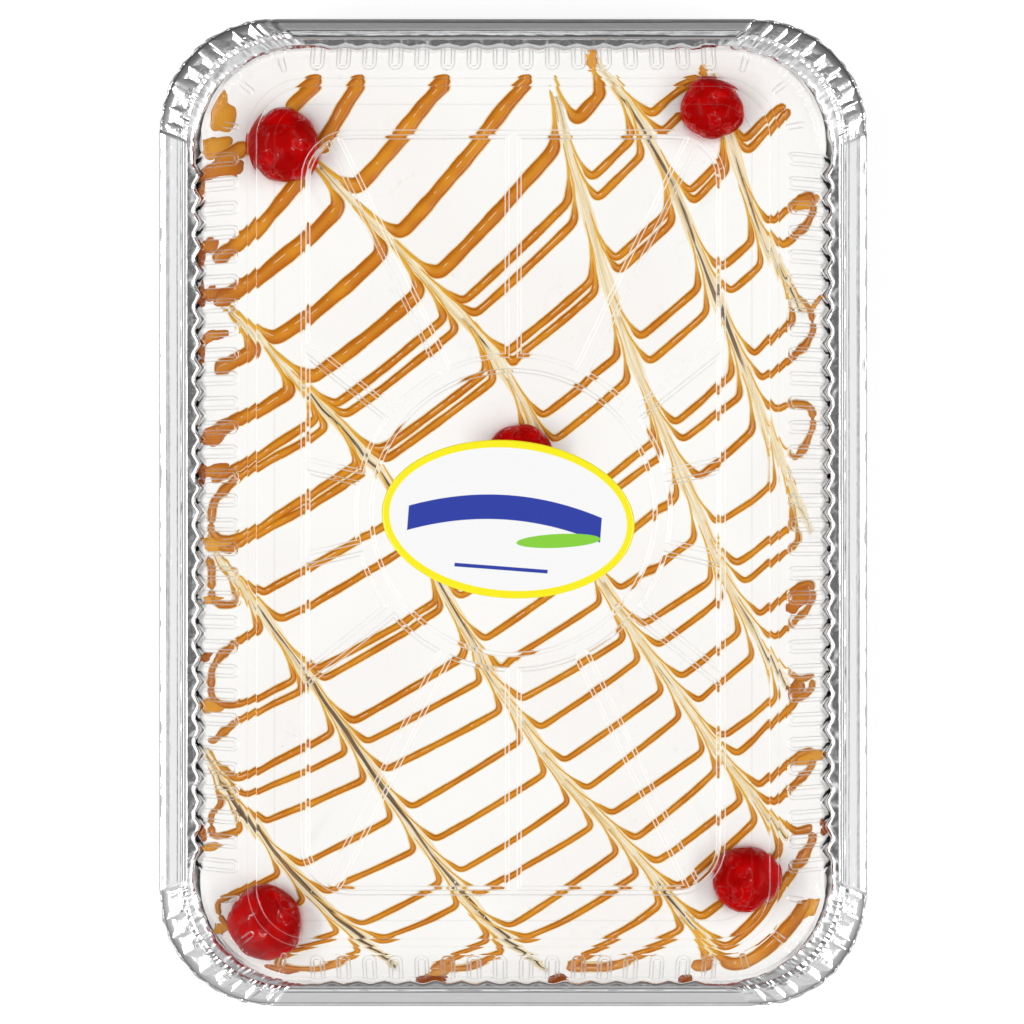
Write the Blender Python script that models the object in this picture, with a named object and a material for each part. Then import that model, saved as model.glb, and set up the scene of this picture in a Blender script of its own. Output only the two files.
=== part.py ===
"""Tres leches cake in its foil tray, under a clear fluted dome lid with an oval label.

Metres, +Z up.  The origin is on the ground at the middle of the tray, +Y is the tray's long way.
The tray's lip is folded over the lid's flange.  The cake is one solid block under smooth cream;
its caramel lines were piped to and fro and then pulled into points by seven skewer strokes.
"""

import math

import bmesh
import bpy
import numpy as np

# Foil tray: half sizes in X and Y of each level, its corner radius and its height
RIM = (0.1075, 0.150, 0.034)          # outside of the folded lip
LIP_INNER = (0.0989, 0.1437, 0.031)   # inner edge of the folded lip
FOLD_INNER = (0.1066, 0.1491, 0.0331)
SEAT_EDGE = (0.097, 0.1424, 0.0255)   # where the wall meets the seat under the flange
FLOOR_EDGE = (0.088, 0.133, 0.018)
FLOOR_FLAT = (0.086, 0.131, 0.016)
FOIL = 0.0004
FLOOR_Z = 0.0005
FLOOR_ROUND_Z = 0.0025
SEAT_Z = 0.041
LIP_UNDER_Z = 0.0421
LIP_CREST_Z = 0.0434
LIP_CREST_INSET = 0.0025
LIP_OUTER_INSET = 0.0008
CORNER_PLEATS = 10                    # folds of foil round each corner
PLEAT_RISE = 0.0005
PLEAT_PUSH = 0.0005
WALL_PLEAT = 0.0003

# Gaps between pieces that touch in the real thing
GAP = 0.0003
CAKE_CLEARANCE = 0.0007

# Cake and cream
CREAM = (0.93, 0.90, 0.84)
CREAM_ROUGHNESS = 0.45
CREAM_Z = 0.038
CREAM_EDGE_ROLL = 0.0016
CAKE_CORNER_STEPS = 8

# Lid: half sizes and corner radius of each level
FLANGE = (0.1059, 0.1484, 0.0324)
WALL_BASE = (0.0952, 0.1412, 0.025)
WALL_UPPER = (0.0878, 0.1362, 0.0225)
WALL_TOP = (0.0845, 0.1338, 0.020)
PLATEAU = (0.0788, 0.1294, 0.017)
FIELD_OUTER = (0.0636, 0.1147, 0.003)
FIELD_INNER = (0.0622, 0.1133, 0.0024)
FLANGE_Z = 0.0418
WALL_UPPER_Z = 0.0535
WALL_TOP_Z = 0.0572
PLATEAU_Z = 0.0605
FIELD_Z = 0.0593
PANEL_RISE = 0.0008
BEVEL_RUN = 0.0009
LID_SKIN = 0.0005
LONG_FLUTES = 31
SHORT_FLUTES = 19
CORNER_FLUTES = 3
FLUTE_DEPTH = 0.0011
CORNER_FLUTE_SHARE = 0.5              # the flutes are shallower round the corners
SPOKES = 14
SPOKE_WIDTH = 0.0040
RING_OUTER = 0.0466
RING_INNER = 0.0432
DISC_STEPS = 28
PLAIN_STEPS = (8, 2, 3)               # steps round a corner, an end and a side of the plain rings

# Oval label on the lid's middle
LABEL_LONG, LABEL_SHORT = 0.038, 0.0237
LABEL_THICK = 0.0002
LABEL_TURN = math.radians(-4.4)
LABEL_AT = (-0.0015, -0.0020)
LABEL_STEPS = 32

# Cherries: name, X, Y, radius across, height as a share of width, turn about Z
CHERRIES = (
    ("cherry_rear_left", -0.0699, 0.1115, 0.0112, 0.94, 0.3),
    ("cherry_rear_right", 0.0604, 0.1227, 0.0096, 0.93, 1.2),
    ("cherry_middle", 0.0019, 0.0172, 0.0099, 0.95, 2.2),
    ("cherry_front_left", -0.0751, -0.1244, 0.0113, 0.90, 3.6),
    ("cherry_front_right", 0.0709, -0.1112, 0.0103, 0.94, 5.1),
)
CHERRY_RIDE = 0.45                    # centre above the cream, as a share of the radius
CHERRY_DIMPLE = 0.20                  # depth and spread of the stem's dimple, as shares of the radius
CHERRY_DIMPLE_SPREAD = 0.3
CHERRY_TILT = 0.25
CHERRY_OVAL, CHERRY_LOBE = 0.03, 0.02
CHERRY_STEPS = (14, 8)
POCKET_STEPS = (12, 8)
POCKET_SCALE = 1.09

# Skewer strokes across the cream; each pulls the caramel towards its first point
DRAGS = (
    ((0.061, 0.134), (0.068, 0.107), (0.0765, 0.084), (0.088, 0.061)),
    ((0.023, 0.141), (0.042, 0.113), (0.0585, 0.075), (0.0735, 0.036), (0.0875, 0.001), (0.0905, -0.0065)),
    ((0.013, 0.127), (0.0225, 0.091), (0.0355, 0.0495), (0.053, 0.008), (0.068, -0.026), (0.084, -0.054)),
    ((-0.059, 0.105), (-0.026, 0.0705), (0.001, 0.037), (0.028, -0.022), (0.051, -0.056),
     (0.072, -0.085), (0.084, -0.100)),
    ((-0.0855, 0.061), (-0.060, 0.034), (-0.0375, 0.0075), (-0.0145, -0.0365), (0.013, -0.078),
     (0.0355, -0.1025), (0.063, -0.136)),
    ((-0.0935, -0.0085), (-0.072, -0.037), (-0.0525, -0.0645), (-0.030, -0.097), (-0.007, -0.1255),
     (0.010, -0.139)),
    ((-0.094, -0.072), (-0.083, -0.0905), (-0.0675, -0.109), (-0.0525, -0.1245), (-0.036, -0.138)),
)
PULL = 0.027                          # how far the skewer carries the caramel on its own line
PULL_REACH = 0.0021                   # the pull falls off by e in this distance

# Caramel lines.  Each goes from the left or front edge to the rear or right edge: the distance
# round each edge from the rear left corner to its end, its sag from the straight, and its width.
STROKES = (
    (0.027, 0.034, 0.003, 0.0042), (0.057, 0.047, 0.0055, 0.0038), (0.070, 0.073, 0.006, 0.0042),
    (0.0905, 0.098, 0.009, 0.0038), (0.109, 0.124, 0.010, 0.0036), (0.124, 0.147, 0.008, 0.0023),
    (0.127, 0.155, 0.0095, 0.0022), (0.145, 0.1835, 0.008, 0.0022), (0.1475, 0.189, 0.009, 0.0022),
    (0.164, 0.2185, 0.0095, 0.0023), (0.1765, 0.228, 0.009, 0.0020), (0.1945, 0.254, 0.0105, 0.0019),
    (0.201, 0.265, 0.0065, 0.0019), (0.217, 0.2775, 0.0095, 0.0022), (0.2235, 0.300, 0.0075, 0.0018),
    (0.2325, 0.3175, 0.0075, 0.0021), (0.252, 0.323, 0.0075, 0.0020), (0.2625, 0.3365, 0.010, 0.0021),
    (0.288, 0.3455, 0.010, 0.0019), (0.302, 0.366, 0.0065, 0.0020), (0.338, 0.3705, 0.0055, 0.0022),
    (0.346, 0.388, 0.0055, 0.0022), (0.379, 0.3945, 0.0035, 0.0024), (0.388, 0.411, 0.0055, 0.0026),
    (0.418, 0.417, 0.0045, 0.0028), (0.424, 0.435, 0.0045, 0.0036),
)
PIPED_LEFT, PIPED_RIGHT, PIPED_FRONT, PIPED_REAR = -0.0935, 0.0915, -0.1405, 0.1325
PIPED_ROUND = 0.030
SAG_LEAN = 0.35                       # lines sag more towards their left ends
SINGLE_LINES = 5                      # the first lines are not joined at their ends
STROKE_KEYS = 9
PATH_PACE = 0.0005
TURN_OVERLAP = 3                      # joined lines reach this many paces past the turn's middle
SMOOTHINGS = 24
NUDGE = 0.0001
CREAM_MARGIN = 0.0008                 # caramel stays this far inside the cream's edge
DRAG_GAP = 0.0019                     # and this far from the middle of a skewer stroke
THINNEST = 0.0006
LARGEST_BEND = math.radians(100)
NARROWINGS, NARROWING = 40, 0.9       # steps by which a bead is narrowed in a tight bend
LEAST_ADVANCE = 0.2
WIDEST_FOOT = 1.5                     # a bead's foot against its width at the cream
BEAD_RISE = 0.0009                    # highest a bead stands above the cream
BEAD_STEEPEST = 0.8                   # rise over half width of the narrow ones
BEAD_SINK = 0.0004
SHORTEST_RUN = 0.0075
GROOVE_WIDTH = 0.0014
GROOVE_DEPTH = 0.0012
FAIR = 0.00075                        # how closely a bead's stations follow its true curve


# ---------------------------------------------------------------- meshes

def finish(name, bm, colour, roughness, metallic=0.0, alpha=1.0, smooth_angle=40.0):
    """Turn a closed bmesh into a named object with its own material."""
    bmesh.ops.recalc_face_normals(bm, faces=bm.faces)
    mesh = bpy.data.meshes.new(name)
    bm.to_mesh(mesh)
    bm.free()
    mesh.shade_smooth()
    mesh.set_sharp_from_angle(angle=math.radians(smooth_angle))
    obj = bpy.data.objects.new(name, mesh)
    bpy.context.scene.collection.objects.link(obj)
    material = bpy.data.materials.new(name)
    material.use_nodes = True
    shader = material.node_tree.nodes["Principled BSDF"]
    shader.inputs["Base Color"].default_value = (*colour, 1.0)
    shader.inputs["Roughness"].default_value = roughness
    shader.inputs["Metallic"].default_value = metallic
    shader.inputs["Alpha"].default_value = alpha
    mesh.materials.append(material)
    return obj


def bridge(bm, ring_a, ring_b):
    """Join two closed rings of vertices; unlike ones are joined by whichever diagonal is shorter."""
    count_a, count_b = len(ring_a), len(ring_b)
    if count_a == count_b:
        for i in range(count_a):
            j = (i + 1) % count_a
            bm.faces.new((ring_a[i], ring_a[j], ring_b[j], ring_b[i]))
        return
    ring_a, ring_b = (by_angle(ring) + by_angle(ring)[:1] for ring in (ring_a, ring_b))
    i = j = 0
    while i < count_a or j < count_b:
        step_a = (ring_a[i + 1].co - ring_b[j].co).length if i < count_a else math.inf
        step_b = (ring_b[j + 1].co - ring_a[i].co).length if j < count_b else math.inf
        if step_a <= step_b:
            bm.faces.new((ring_a[i], ring_a[i + 1], ring_b[j]))
            i += 1
        else:
            bm.faces.new((ring_a[i], ring_b[j + 1], ring_b[j]))
            j += 1


def by_angle(ring):
    """The ring's vertices from the smallest angle about the middle on."""
    turns = [math.atan2(v.co.y, v.co.x) % (2 * math.pi) for v in ring]
    first = turns.index(min(turns))
    return ring[first:] + ring[:first]


def closed_rings(rings):
    """A closed body: rings bridged one to the next, the first and last ones capped."""
    bm = bmesh.new()
    made = [[bm.verts.new(point) for point in ring] for ring in rings]
    bm.faces.new(made[0])
    for ring_a, ring_b in zip(made, made[1:]):
        bridge(bm, ring_a, ring_b)
    bm.faces.new(made[-1])
    return bm


def outline(level, corner_steps, end_steps=1, side_steps=1):
    """A rounded rectangle as points, outward normals and a 0-1 place round each corner (-1 on sides)."""
    half_x, half_y, radius = level
    points, normals, places = [], [], []
    for corner in range(4):
        sign_x = 1 if corner in (0, 3) else -1
        sign_y = 1 if corner in (0, 1) else -1
        centre = np.array((sign_x * (half_x - radius), sign_y * (half_y - radius)))
        for step in range(corner_steps + 1):
            angle = math.pi / 2 * (corner + step / corner_steps)
            normal = np.array((math.cos(angle), math.sin(angle)))
            points.append(centre + radius * normal)
            normals.append(normal)
            places.append(step / corner_steps)
        run = end_steps if corner % 2 == 0 else side_steps
        along = np.array((-math.sin(angle), math.cos(angle)))
        length = 2 * (half_x - radius if corner % 2 == 0 else half_y - radius)
        for step in range(1, run):
            points.append(points[-step] + along * length * step / run)
            normals.append(normal)
            places.append(-1.0)
    return np.array(points), np.array(normals), np.array(places)


def raised(points, heights):
    """Plan points lifted to a height, or to one height each."""
    heights = np.broadcast_to(heights, len(points))
    return np.column_stack((points, heights))


# ---------------------------------------------------------------- foil tray

def tray_ring(level, height, rise=0.0, push=0.0, grow=0.0):
    """One level of the tray; rise and push are how far the corner pleats move it up and inwards."""
    half_x, half_y, radius = level
    level = (half_x + grow, half_y + grow, radius + grow)
    points, normals, places = outline(level, 2 * CORNER_PLEATS)
    pleat = np.round(places * 2 * CORNER_PLEATS) % 2
    points = points - normals * (pleat * push)[:, None]
    return raised(points, height + pleat * rise)


def between(level_a, level_b, share):
    """The level a share of the way from one to the other."""
    return tuple(a + (b - a) * share for a, b in zip(level_a, level_b))


def inset(level, amount):
    """The same outline, an amount smaller all round."""
    half_x, half_y, radius = level
    return (half_x - amount, half_y - amount, radius - amount)


def make_tray():
    rings = (
        tray_ring(FLOOR_FLAT, FLOOR_Z),
        tray_ring(FLOOR_EDGE, FLOOR_ROUND_Z),
        tray_ring(SEAT_EDGE, SEAT_Z, push=WALL_PLEAT),
        tray_ring(FOLD_INNER, SEAT_Z),
        tray_ring(FOLD_INNER, LIP_UNDER_Z),
        tray_ring(LIP_INNER, LIP_UNDER_Z),
        tray_ring(LIP_INNER, LIP_UNDER_Z + FOIL, rise=PLEAT_RISE / 2),
        tray_ring(inset(RIM, LIP_CREST_INSET), LIP_CREST_Z, rise=-PLEAT_RISE),
        tray_ring(inset(RIM, LIP_OUTER_INSET), LIP_CREST_Z - FOIL, rise=-PLEAT_RISE, push=PLEAT_PUSH / 2),
        tray_ring(RIM, SEAT_Z + FOIL, push=PLEAT_PUSH),
        tray_ring(inset(RIM, LIP_OUTER_INSET), SEAT_Z - FOIL),
        tray_ring(SEAT_EDGE, SEAT_Z - FOIL, push=WALL_PLEAT, grow=FOIL),
        tray_ring(FLOOR_EDGE, FLOOR_ROUND_Z - FOIL, grow=FOIL),
        tray_ring(FLOOR_FLAT, 0.0, grow=FOIL),
    )
    return finish("foil_tray", closed_rings(rings), (0.77, 0.77, 0.78), 0.28, metallic=1.0)


# ---------------------------------------------------------------- lid

def flute_ring(level, height, depth):
    """One level of the lid's wall, its columns in and out of the outline by the flutes' half depth."""
    points, normals, places = outline(level, 2 * CORNER_FLUTES, 2 * SHORT_FLUTES, 2 * LONG_FLUTES)
    sign = np.where(np.arange(len(points)) % 2 == 0, 1.0, -1.0)
    share = np.where((places > 0) & (places < 1), CORNER_FLUTE_SHARE, 1.0)
    return raised(points + normals * (sign * share * depth)[:, None], height), normals


def field_ring(reach, shift, panel_z, spoke_z):
    """Points round the lid's middle field: each spoke's two edges, then the panel up to the next one.

    reach gives the distance from the middle along a direction at a sideways offset; shift is how
    far the panel's own edge stands back from the spoke's."""
    points = []
    corner = math.atan2(FIELD_INNER[1], FIELD_INNER[0])
    corners = (corner, math.pi - corner, math.pi + corner, 2 * math.pi - corner)
    for spoke in range(SPOKES):
        angle = math.pi / 2 + 2 * math.pi * spoke / SPOKES
        following = angle + 2 * math.pi / SPOKES
        half = SPOKE_WIDTH / 2
        crossed = [turn for turn in corners + tuple(turn + 2 * math.pi for turn in corners)
                   if angle < turn < following]
        bend = crossed[0] if crossed else (angle + following) / 2
        for direction, offset, height in (
                (angle, half, spoke_z), (angle, half + shift, panel_z), (bend, 0.0, panel_z),
                (following, -half - shift, panel_z), (following, -half, spoke_z)):
            along = np.array((math.cos(direction), math.sin(direction)))
            across = np.array((-along[1], along[0]))
            distance = reach(along, across * offset)
            points.append((*(along * distance + across * offset), height))
    return np.array(points)


def circle_reach(radius):
    """How far out a circle of this radius lies along a direction from an offset start."""
    return lambda along, start: math.sqrt(radius ** 2 - start @ start)


def box_reach(level):
    """How far out a rounded rectangle lies along a direction from an offset start."""
    half_x, half_y, radius = level

    def reach(along, start):
        near, far = 0.0, half_x + half_y
        for _ in range(40):
            middle = (near + far) / 2
            point = np.abs(start + along * middle) - (half_x - radius, half_y - radius)
            outside = np.linalg.norm(np.maximum(point, 0.0)) + min(point.max(), 0.0) - radius
            near, far = (middle, far) if outside < 0 else (near, middle)
        return near
    return reach


def round_ring(radius, height):
    """A plain circle of points."""
    angles = np.arange(DISC_STEPS) * 2 * math.pi / DISC_STEPS
    return raised(radius * np.column_stack((np.cos(angles), np.sin(angles))), height)


def make_lid():
    panel_z = FIELD_Z + PANEL_RISE
    tops = [
        round_ring(RING_INNER - BEVEL_RUN, panel_z),
        round_ring(RING_INNER, FIELD_Z),
        field_ring(circle_reach(RING_OUTER), 0.0, FIELD_Z, FIELD_Z),
        field_ring(circle_reach(RING_OUTER + BEVEL_RUN), BEVEL_RUN, panel_z, FIELD_Z),
        field_ring(box_reach(inset(FIELD_INNER, BEVEL_RUN)), BEVEL_RUN, panel_z, FIELD_Z),
        field_ring(box_reach(FIELD_INNER), 0.0, FIELD_Z, FIELD_Z),
        field_ring(box_reach(FIELD_OUTER), 0.0, PLATEAU_Z, PLATEAU_Z),
        raised(outline(PLATEAU, *PLAIN_STEPS)[0], PLATEAU_Z),
    ]
    unders = [ring - (0.0, 0.0, LID_SKIN) for ring in tops]
    for level, height, side in ((WALL_TOP, WALL_TOP_Z, tops),
                                (inset(WALL_TOP, LID_SKIN / 2), WALL_TOP_Z - LID_SKIN, unders)):
        ring = outline(level, 2 * CORNER_FLUTES, SHORT_FLUTES, LONG_FLUTES)[0]
        side.append(raised(ring, height))
    for level, height in ((WALL_UPPER, WALL_UPPER_Z), (WALL_BASE, FLANGE_Z)):
        ring, normals = flute_ring(level, height, FLUTE_DEPTH)
        tops.append(ring)
        unders.append(ring - np.column_stack((normals, np.ones(len(ring)))) * LID_SKIN)
    flange = raised(outline(FLANGE, *PLAIN_STEPS)[0], FLANGE_Z)
    rings = tops + [flange, flange - (0.0, 0.0, LID_SKIN)] + unders[::-1]
    return finish("lid", closed_rings(rings), (0.93, 0.95, 0.95), 0.05, alpha=0.3)


# ---------------------------------------------------------------- label

def make_label():
    base = FIELD_Z + PANEL_RISE + GAP
    angles = np.arange(LABEL_STEPS) * 2 * math.pi / LABEL_STEPS
    oval = np.column_stack((LABEL_LONG * np.cos(angles), LABEL_SHORT * np.sin(angles)))
    cos, sin = math.cos(LABEL_TURN), math.sin(LABEL_TURN)
    oval = oval @ np.array(((cos, sin), (-sin, cos))) + LABEL_AT
    rings = (raised(oval, base), raised(oval, base + LABEL_THICK))
    return finish("label", closed_rings(rings), (0.95, 0.93, 0.55), 0.35)


# ---------------------------------------------------------------- cherries

def ball(radius, squash, steps):
    """A slightly flattened ball about the origin."""
    bm = bmesh.new()
    bmesh.ops.create_uvsphere(bm, u_segments=steps[0], v_segments=steps[1], radius=radius)
    for vert in bm.verts:
        vert.co.z *= squash
    return bm


def make_cherry(name, x, y, radius, squash, turn):
    bm = ball(radius, squash, CHERRY_STEPS)
    for vert in bm.verts:
        spread = math.hypot(vert.co.x, vert.co.y) / radius / CHERRY_DIMPLE_SPREAD
        if vert.co.z > 0:
            vert.co.z -= radius * CHERRY_DIMPLE * math.exp(-spread ** 2)
        angle = math.atan2(vert.co.y, vert.co.x)
        lobe = 1.0 - CHERRY_OVAL * math.cos(2 * angle) - CHERRY_LOBE * math.cos(3 * angle + turn)
        vert.co.x *= lobe
        vert.co.y *= lobe
    cherry = finish(name, bm, (0.42, 0.005, 0.01), 0.12)
    cherry.location = (x, y, CREAM_Z + CHERRY_RIDE * radius)
    cherry.rotation_euler = (CHERRY_TILT * math.cos(turn), CHERRY_TILT * math.sin(turn), turn)
    return cherry


# ---------------------------------------------------------------- cake with its caramel

def smooth_line(points, steps=10):
    """A smooth curve through the points."""
    points = np.array(points)
    padded = np.vstack((2 * points[0] - points[1], points, 2 * points[-1] - points[-2]))
    pieces = []
    share = np.linspace(0, 1, steps, endpoint=False)[:, None]
    for a, b, c, d in zip(padded, padded[1:], padded[2:], padded[3:]):
        pieces.append(0.5 * (2 * b + (c - a) * share + (2 * a - 5 * b + 4 * c - d) * share ** 2
                             + (3 * b - a - 3 * c + d) * share ** 3))
    return np.vstack(pieces + [points[-1:]])


def nearest(line, points):
    """Distance of each point from the line, and the line's direction there, towards its start."""
    start, step = line[:-1], np.diff(line, axis=0)
    square = (step ** 2).sum(axis=1)
    share = np.clip(((points[:, None] - start) * step).sum(axis=2) / square, 0, 1)
    away = points[:, None] - start - share[..., None] * step
    distance = np.linalg.norm(away, axis=2)
    best = distance.argmin(axis=1)
    return distance[np.arange(len(points)), best], -(step / np.sqrt(square)[:, None])[best]


def pulled(points, lines):
    """Where the skewer strokes carry points of the caramel, and how close each lay to a stroke."""
    moved, closest = points.copy(), np.full(len(points), 1.0)
    for line in lines:
        distance, towards = nearest(line, points)
        moved += towards * (PULL * np.exp(-distance / PULL_REACH))[:, None]
        closest = np.minimum(closest, distance)
    return moved, closest


def inside(points, level):
    """How far inside a rounded rectangle each point lies, negative outside."""
    half_x, half_y, radius = level
    point = np.abs(points) - (half_x - radius, half_y - radius)
    return radius - np.linalg.norm(np.maximum(point, 0.0), axis=1) - np.minimum(point.max(axis=1), 0.0)


def eased(x, y):
    """A point on the piped area's square outline, moved onto its rounded corner."""
    middle = np.array(((PIPED_LEFT + PIPED_RIGHT) / 2, (PIPED_FRONT + PIPED_REAR) / 2))
    straight = np.array(((PIPED_RIGHT - PIPED_LEFT) / 2, (PIPED_REAR - PIPED_FRONT) / 2)) - PIPED_ROUND
    offset = np.array((x, y)) - middle
    beyond = np.abs(offset) - straight
    if beyond.min() > 0:
        beyond *= min(1.0, PIPED_ROUND / np.linalg.norm(beyond))
    return middle + np.sign(offset) * (straight + beyond)


def stroke_ends(left, right):
    """Ends of a caramel line from the distances round the left and front, and rear and right edges."""
    down = PIPED_REAR - PIPED_FRONT
    run = PIPED_RIGHT - PIPED_LEFT
    start = (PIPED_LEFT, PIPED_REAR - left) if left < down else (PIPED_LEFT + left - down, PIPED_FRONT)
    end = (PIPED_LEFT + right, PIPED_REAR) if right < run else (PIPED_RIGHT, PIPED_REAR - right + run)
    return eased(*start), eased(*end)


def stroke_keys(number, trim_start=0.0, trim_end=0.0):
    """Points along a line as piped, a shallow bow cut short at its ends to leave room for turns."""
    left, right, sag, _ = STROKES[number]
    start, end = stroke_ends(left, right)
    chord = end - start
    length = np.linalg.norm(chord)
    sideways = np.array((chord[1], -chord[0])) / length
    share = np.linspace(trim_start / length, 1 - trim_end / length, STROKE_KEYS)[:, None]
    lean = 1 + SAG_LEAN * (1 - 2 * share)
    bow = sag * 4 * share * (1 - share) * lean
    return start + chord * share + sideways * bow


def turn(number, side):
    """The line joined to this one at side 0, the left, or 1, the right: its number, the middle of
    the turn between them and half the gap it spans; None where the line just ends."""
    if number < SINGLE_LINES:
        return None
    leads_there = (number - SINGLE_LINES + side) % 2 == 1
    mate = number + 1 if leads_there else number - 1
    if mate < SINGLE_LINES or mate >= len(STROKES):
        return None
    ends = [stroke_ends(*STROKES[i][:2])[side] for i in (number, mate)]
    return mate, (ends[0] + ends[1]) / 2, np.linalg.norm(ends[1] - ends[0]) / 2


def piped_path(number, cream_level):
    """A line as piped, before the skewer, reaching a little past the middle of the turns at its ends."""
    turns = [turn(number, side) for side in (0, 1)]
    trims = [found[2] if found else 0.0 for found in turns]
    keys = [stroke_keys(number, *trims)]
    for side, found in enumerate(turns):
        if found:
            mate, middle, half_gap = found
            beyond = stroke_keys(mate, half_gap, half_gap)[-side]
            keys = keys + [(middle,), (beyond,)] if side else [(beyond,), (middle,)] + keys
    path = evenly(smooth_line(np.vstack(keys)), PATH_PACE)
    path = evenly(held_inside(path, inset(cream_level, CREAM_MARGIN), STROKES[number][3] / 2), PATH_PACE)
    for _ in range(SMOOTHINGS):
        path[1:-1] = (path[:-2] + 2 * path[1:-1] + path[2:]) / 4
    first, last = 0, len(path)
    for side, found in enumerate(turns):
        if found:
            halfway = np.linalg.norm(path - found[1], axis=1).argmin()
            if side:
                last = halfway + TURN_OVERLAP
            else:
                first = halfway - TURN_OVERLAP
    return path[max(first, 0):last]


def evenly(path, pace):
    """The path with its points evenly spaced, about the pace apart."""
    along = np.concatenate(((0.0,), np.cumsum(np.linalg.norm(np.diff(path, axis=0), axis=1))))
    places = np.linspace(0, along[-1], max(2, round(along[-1] / pace)))
    return np.column_stack([np.interp(places, along, path[:, axis]) for axis in (0, 1)])


def held_inside(points, level, room):
    """Points moved in, where needed, to lie at least their own room inside a rounded rectangle."""
    lacking = np.maximum(room + NUDGE - inside(points, level), 0.0)
    corner = np.array(level[:2]) - level[2]
    beyond = np.sign(points) * np.maximum(np.abs(points) - corner, 0.0)
    size = np.maximum(np.linalg.norm(beyond, axis=1), NUDGE)
    return points - beyond / size[:, None] * lacking[:, None]


def stations(points, tolerance):
    """Indices of the points that a polyline needs to stay within the tolerance."""
    keep, work = {0, len(points) - 1}, [(0, len(points) - 1)]
    while work:
        first, last = work.pop()
        if last - first < 2:
            continue
        chord = points[last] - points[first]
        away = points[first + 1:last] - points[first]
        distance = np.abs(chord[0] * away[:, 1] - chord[1] * away[:, 0]) / np.linalg.norm(chord)
        worst = int(distance.argmax())
        if distance[worst] > tolerance:
            middle = first + 1 + worst
            keep.add(middle)
            work += [(first, middle), (middle, last)]
    return sorted(keep)


def bead(name, left, right, crest, base):
    """A closed bead of three-sided section: two edges at the base and a crest, level by level."""
    bm = bmesh.new()
    middle = (left + right) / 2
    rows = [[bm.verts.new((*point, height)) for point, height in zip(points, heights)]
            for points, heights in ((left, base), (middle, crest), (right, base))]
    for side in range(3):
        row_a, row_b = rows[side], rows[(side + 1) % 3]
        for i in range(len(middle) - 1):
            bm.faces.new((row_a[i], row_a[i + 1], row_b[i + 1], row_b[i]))
    bm.faces.new([row[0] for row in rows])
    bm.faces.new([row[-1] for row in rows])
    return finish(name, bm, (0.55, 0.22, 0.03), 0.3)


def across(points):
    """Unit sideways directions along a line."""
    along = np.gradient(points, axis=0)
    return np.column_stack((along[:, 1], -along[:, 0])) / np.linalg.norm(along, axis=1)[:, None]


def uncrossed(centre, spans):
    """Shares to which a bead's half spans are narrowed so that none crosses the next one in a bend."""
    shares = np.ones(len(centre))
    step = np.diff(centre, axis=0)
    length = np.linalg.norm(step, axis=1)
    direction = step / length[:, None]
    for _ in range(NARROWINGS):
        for sign in (-1, 1):
            edge = centre + sign * spans * shares[:, None]
            folded = (np.diff(edge, axis=0) * direction).sum(axis=1) < LEAST_ADVANCE * length
            shares[:-1][folded] *= NARROWING
            shares[1:][folded] *= NARROWING
    return shares


def gentle_parts(centre):
    """Slices of a line, sharing their end points, none bending so far that it could meet itself."""
    step = np.diff(centre, axis=0)
    heading = np.unwrap(np.arctan2(step[:, 1], step[:, 0]))
    parts, first = [], 0
    for i in range(1, len(step)):
        if np.ptp(heading[first:i + 1]) > LARGEST_BEND:
            parts.append(slice(first, i + 1))
            first = i
    return parts + [slice(first, len(centre))]


def drizzle(lines, cream_level):
    """Beads of caramel, one for each stretch of a line between two skewer strokes."""
    beads = []
    for number, (_, _, _, width) in enumerate(STROKES):
        points = piped_path(number, cream_level)
        side = across(points) * width / 2
        middle, closest = pulled(points, lines)
        spread = pulled(points + side, lines)[0] - pulled(points - side, lines)[0]
        clear = (closest > DRAG_GAP) & (inside(middle, cream_level) > CREAM_MARGIN + width / 2)
        breaks = np.flatnonzero(np.diff(clear.astype(int))) + 1
        for run in np.split(np.arange(len(middle)), breaks):
            if not clear[run[0]] or np.ptp(middle[run], axis=0).max() < SHORTEST_RUN:
                continue
            sideways = across(middle[run])
            half = np.maximum(np.abs((spread[run] * sideways).sum(axis=1)), THINNEST) / 2
            picked = stations(middle[run], FAIR)
            centre, half = middle[run][picked], half[picked]
            sideways = across(centre)
            half = half * uncrossed(centre, sideways * (half * WIDEST_FOOT)[:, None])
            rise = np.minimum(BEAD_RISE, BEAD_STEEPEST * half)
            wider = sideways * (half * (rise + BEAD_SINK) / rise)[:, None]
            crest, base = CREAM_Z + rise, np.full(len(picked), CREAM_Z - BEAD_SINK)
            for some in gentle_parts(centre):
                beads.append(bead("bead_%d" % len(beads), (centre - wider)[some],
                                  (centre + wider)[some], crest[some], base[some]))
    return beads


def grooves(lines):
    """Cutters for the skewer's shallow grooves."""
    cutters = []
    for number, line in enumerate(lines):
        picked = line[stations(line, FAIR)]
        half = across(picked) * GROOVE_WIDTH / 2
        lift = GROOVE_DEPTH / 3
        wider = half * (GROOVE_DEPTH + lift) / GROOVE_DEPTH
        cutters.append(bead("groove_%d" % number, picked - wider, picked + wider,
                            np.full(len(picked), CREAM_Z - GROOVE_DEPTH),
                            np.full(len(picked), CREAM_Z + lift)))
    return cutters


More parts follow.
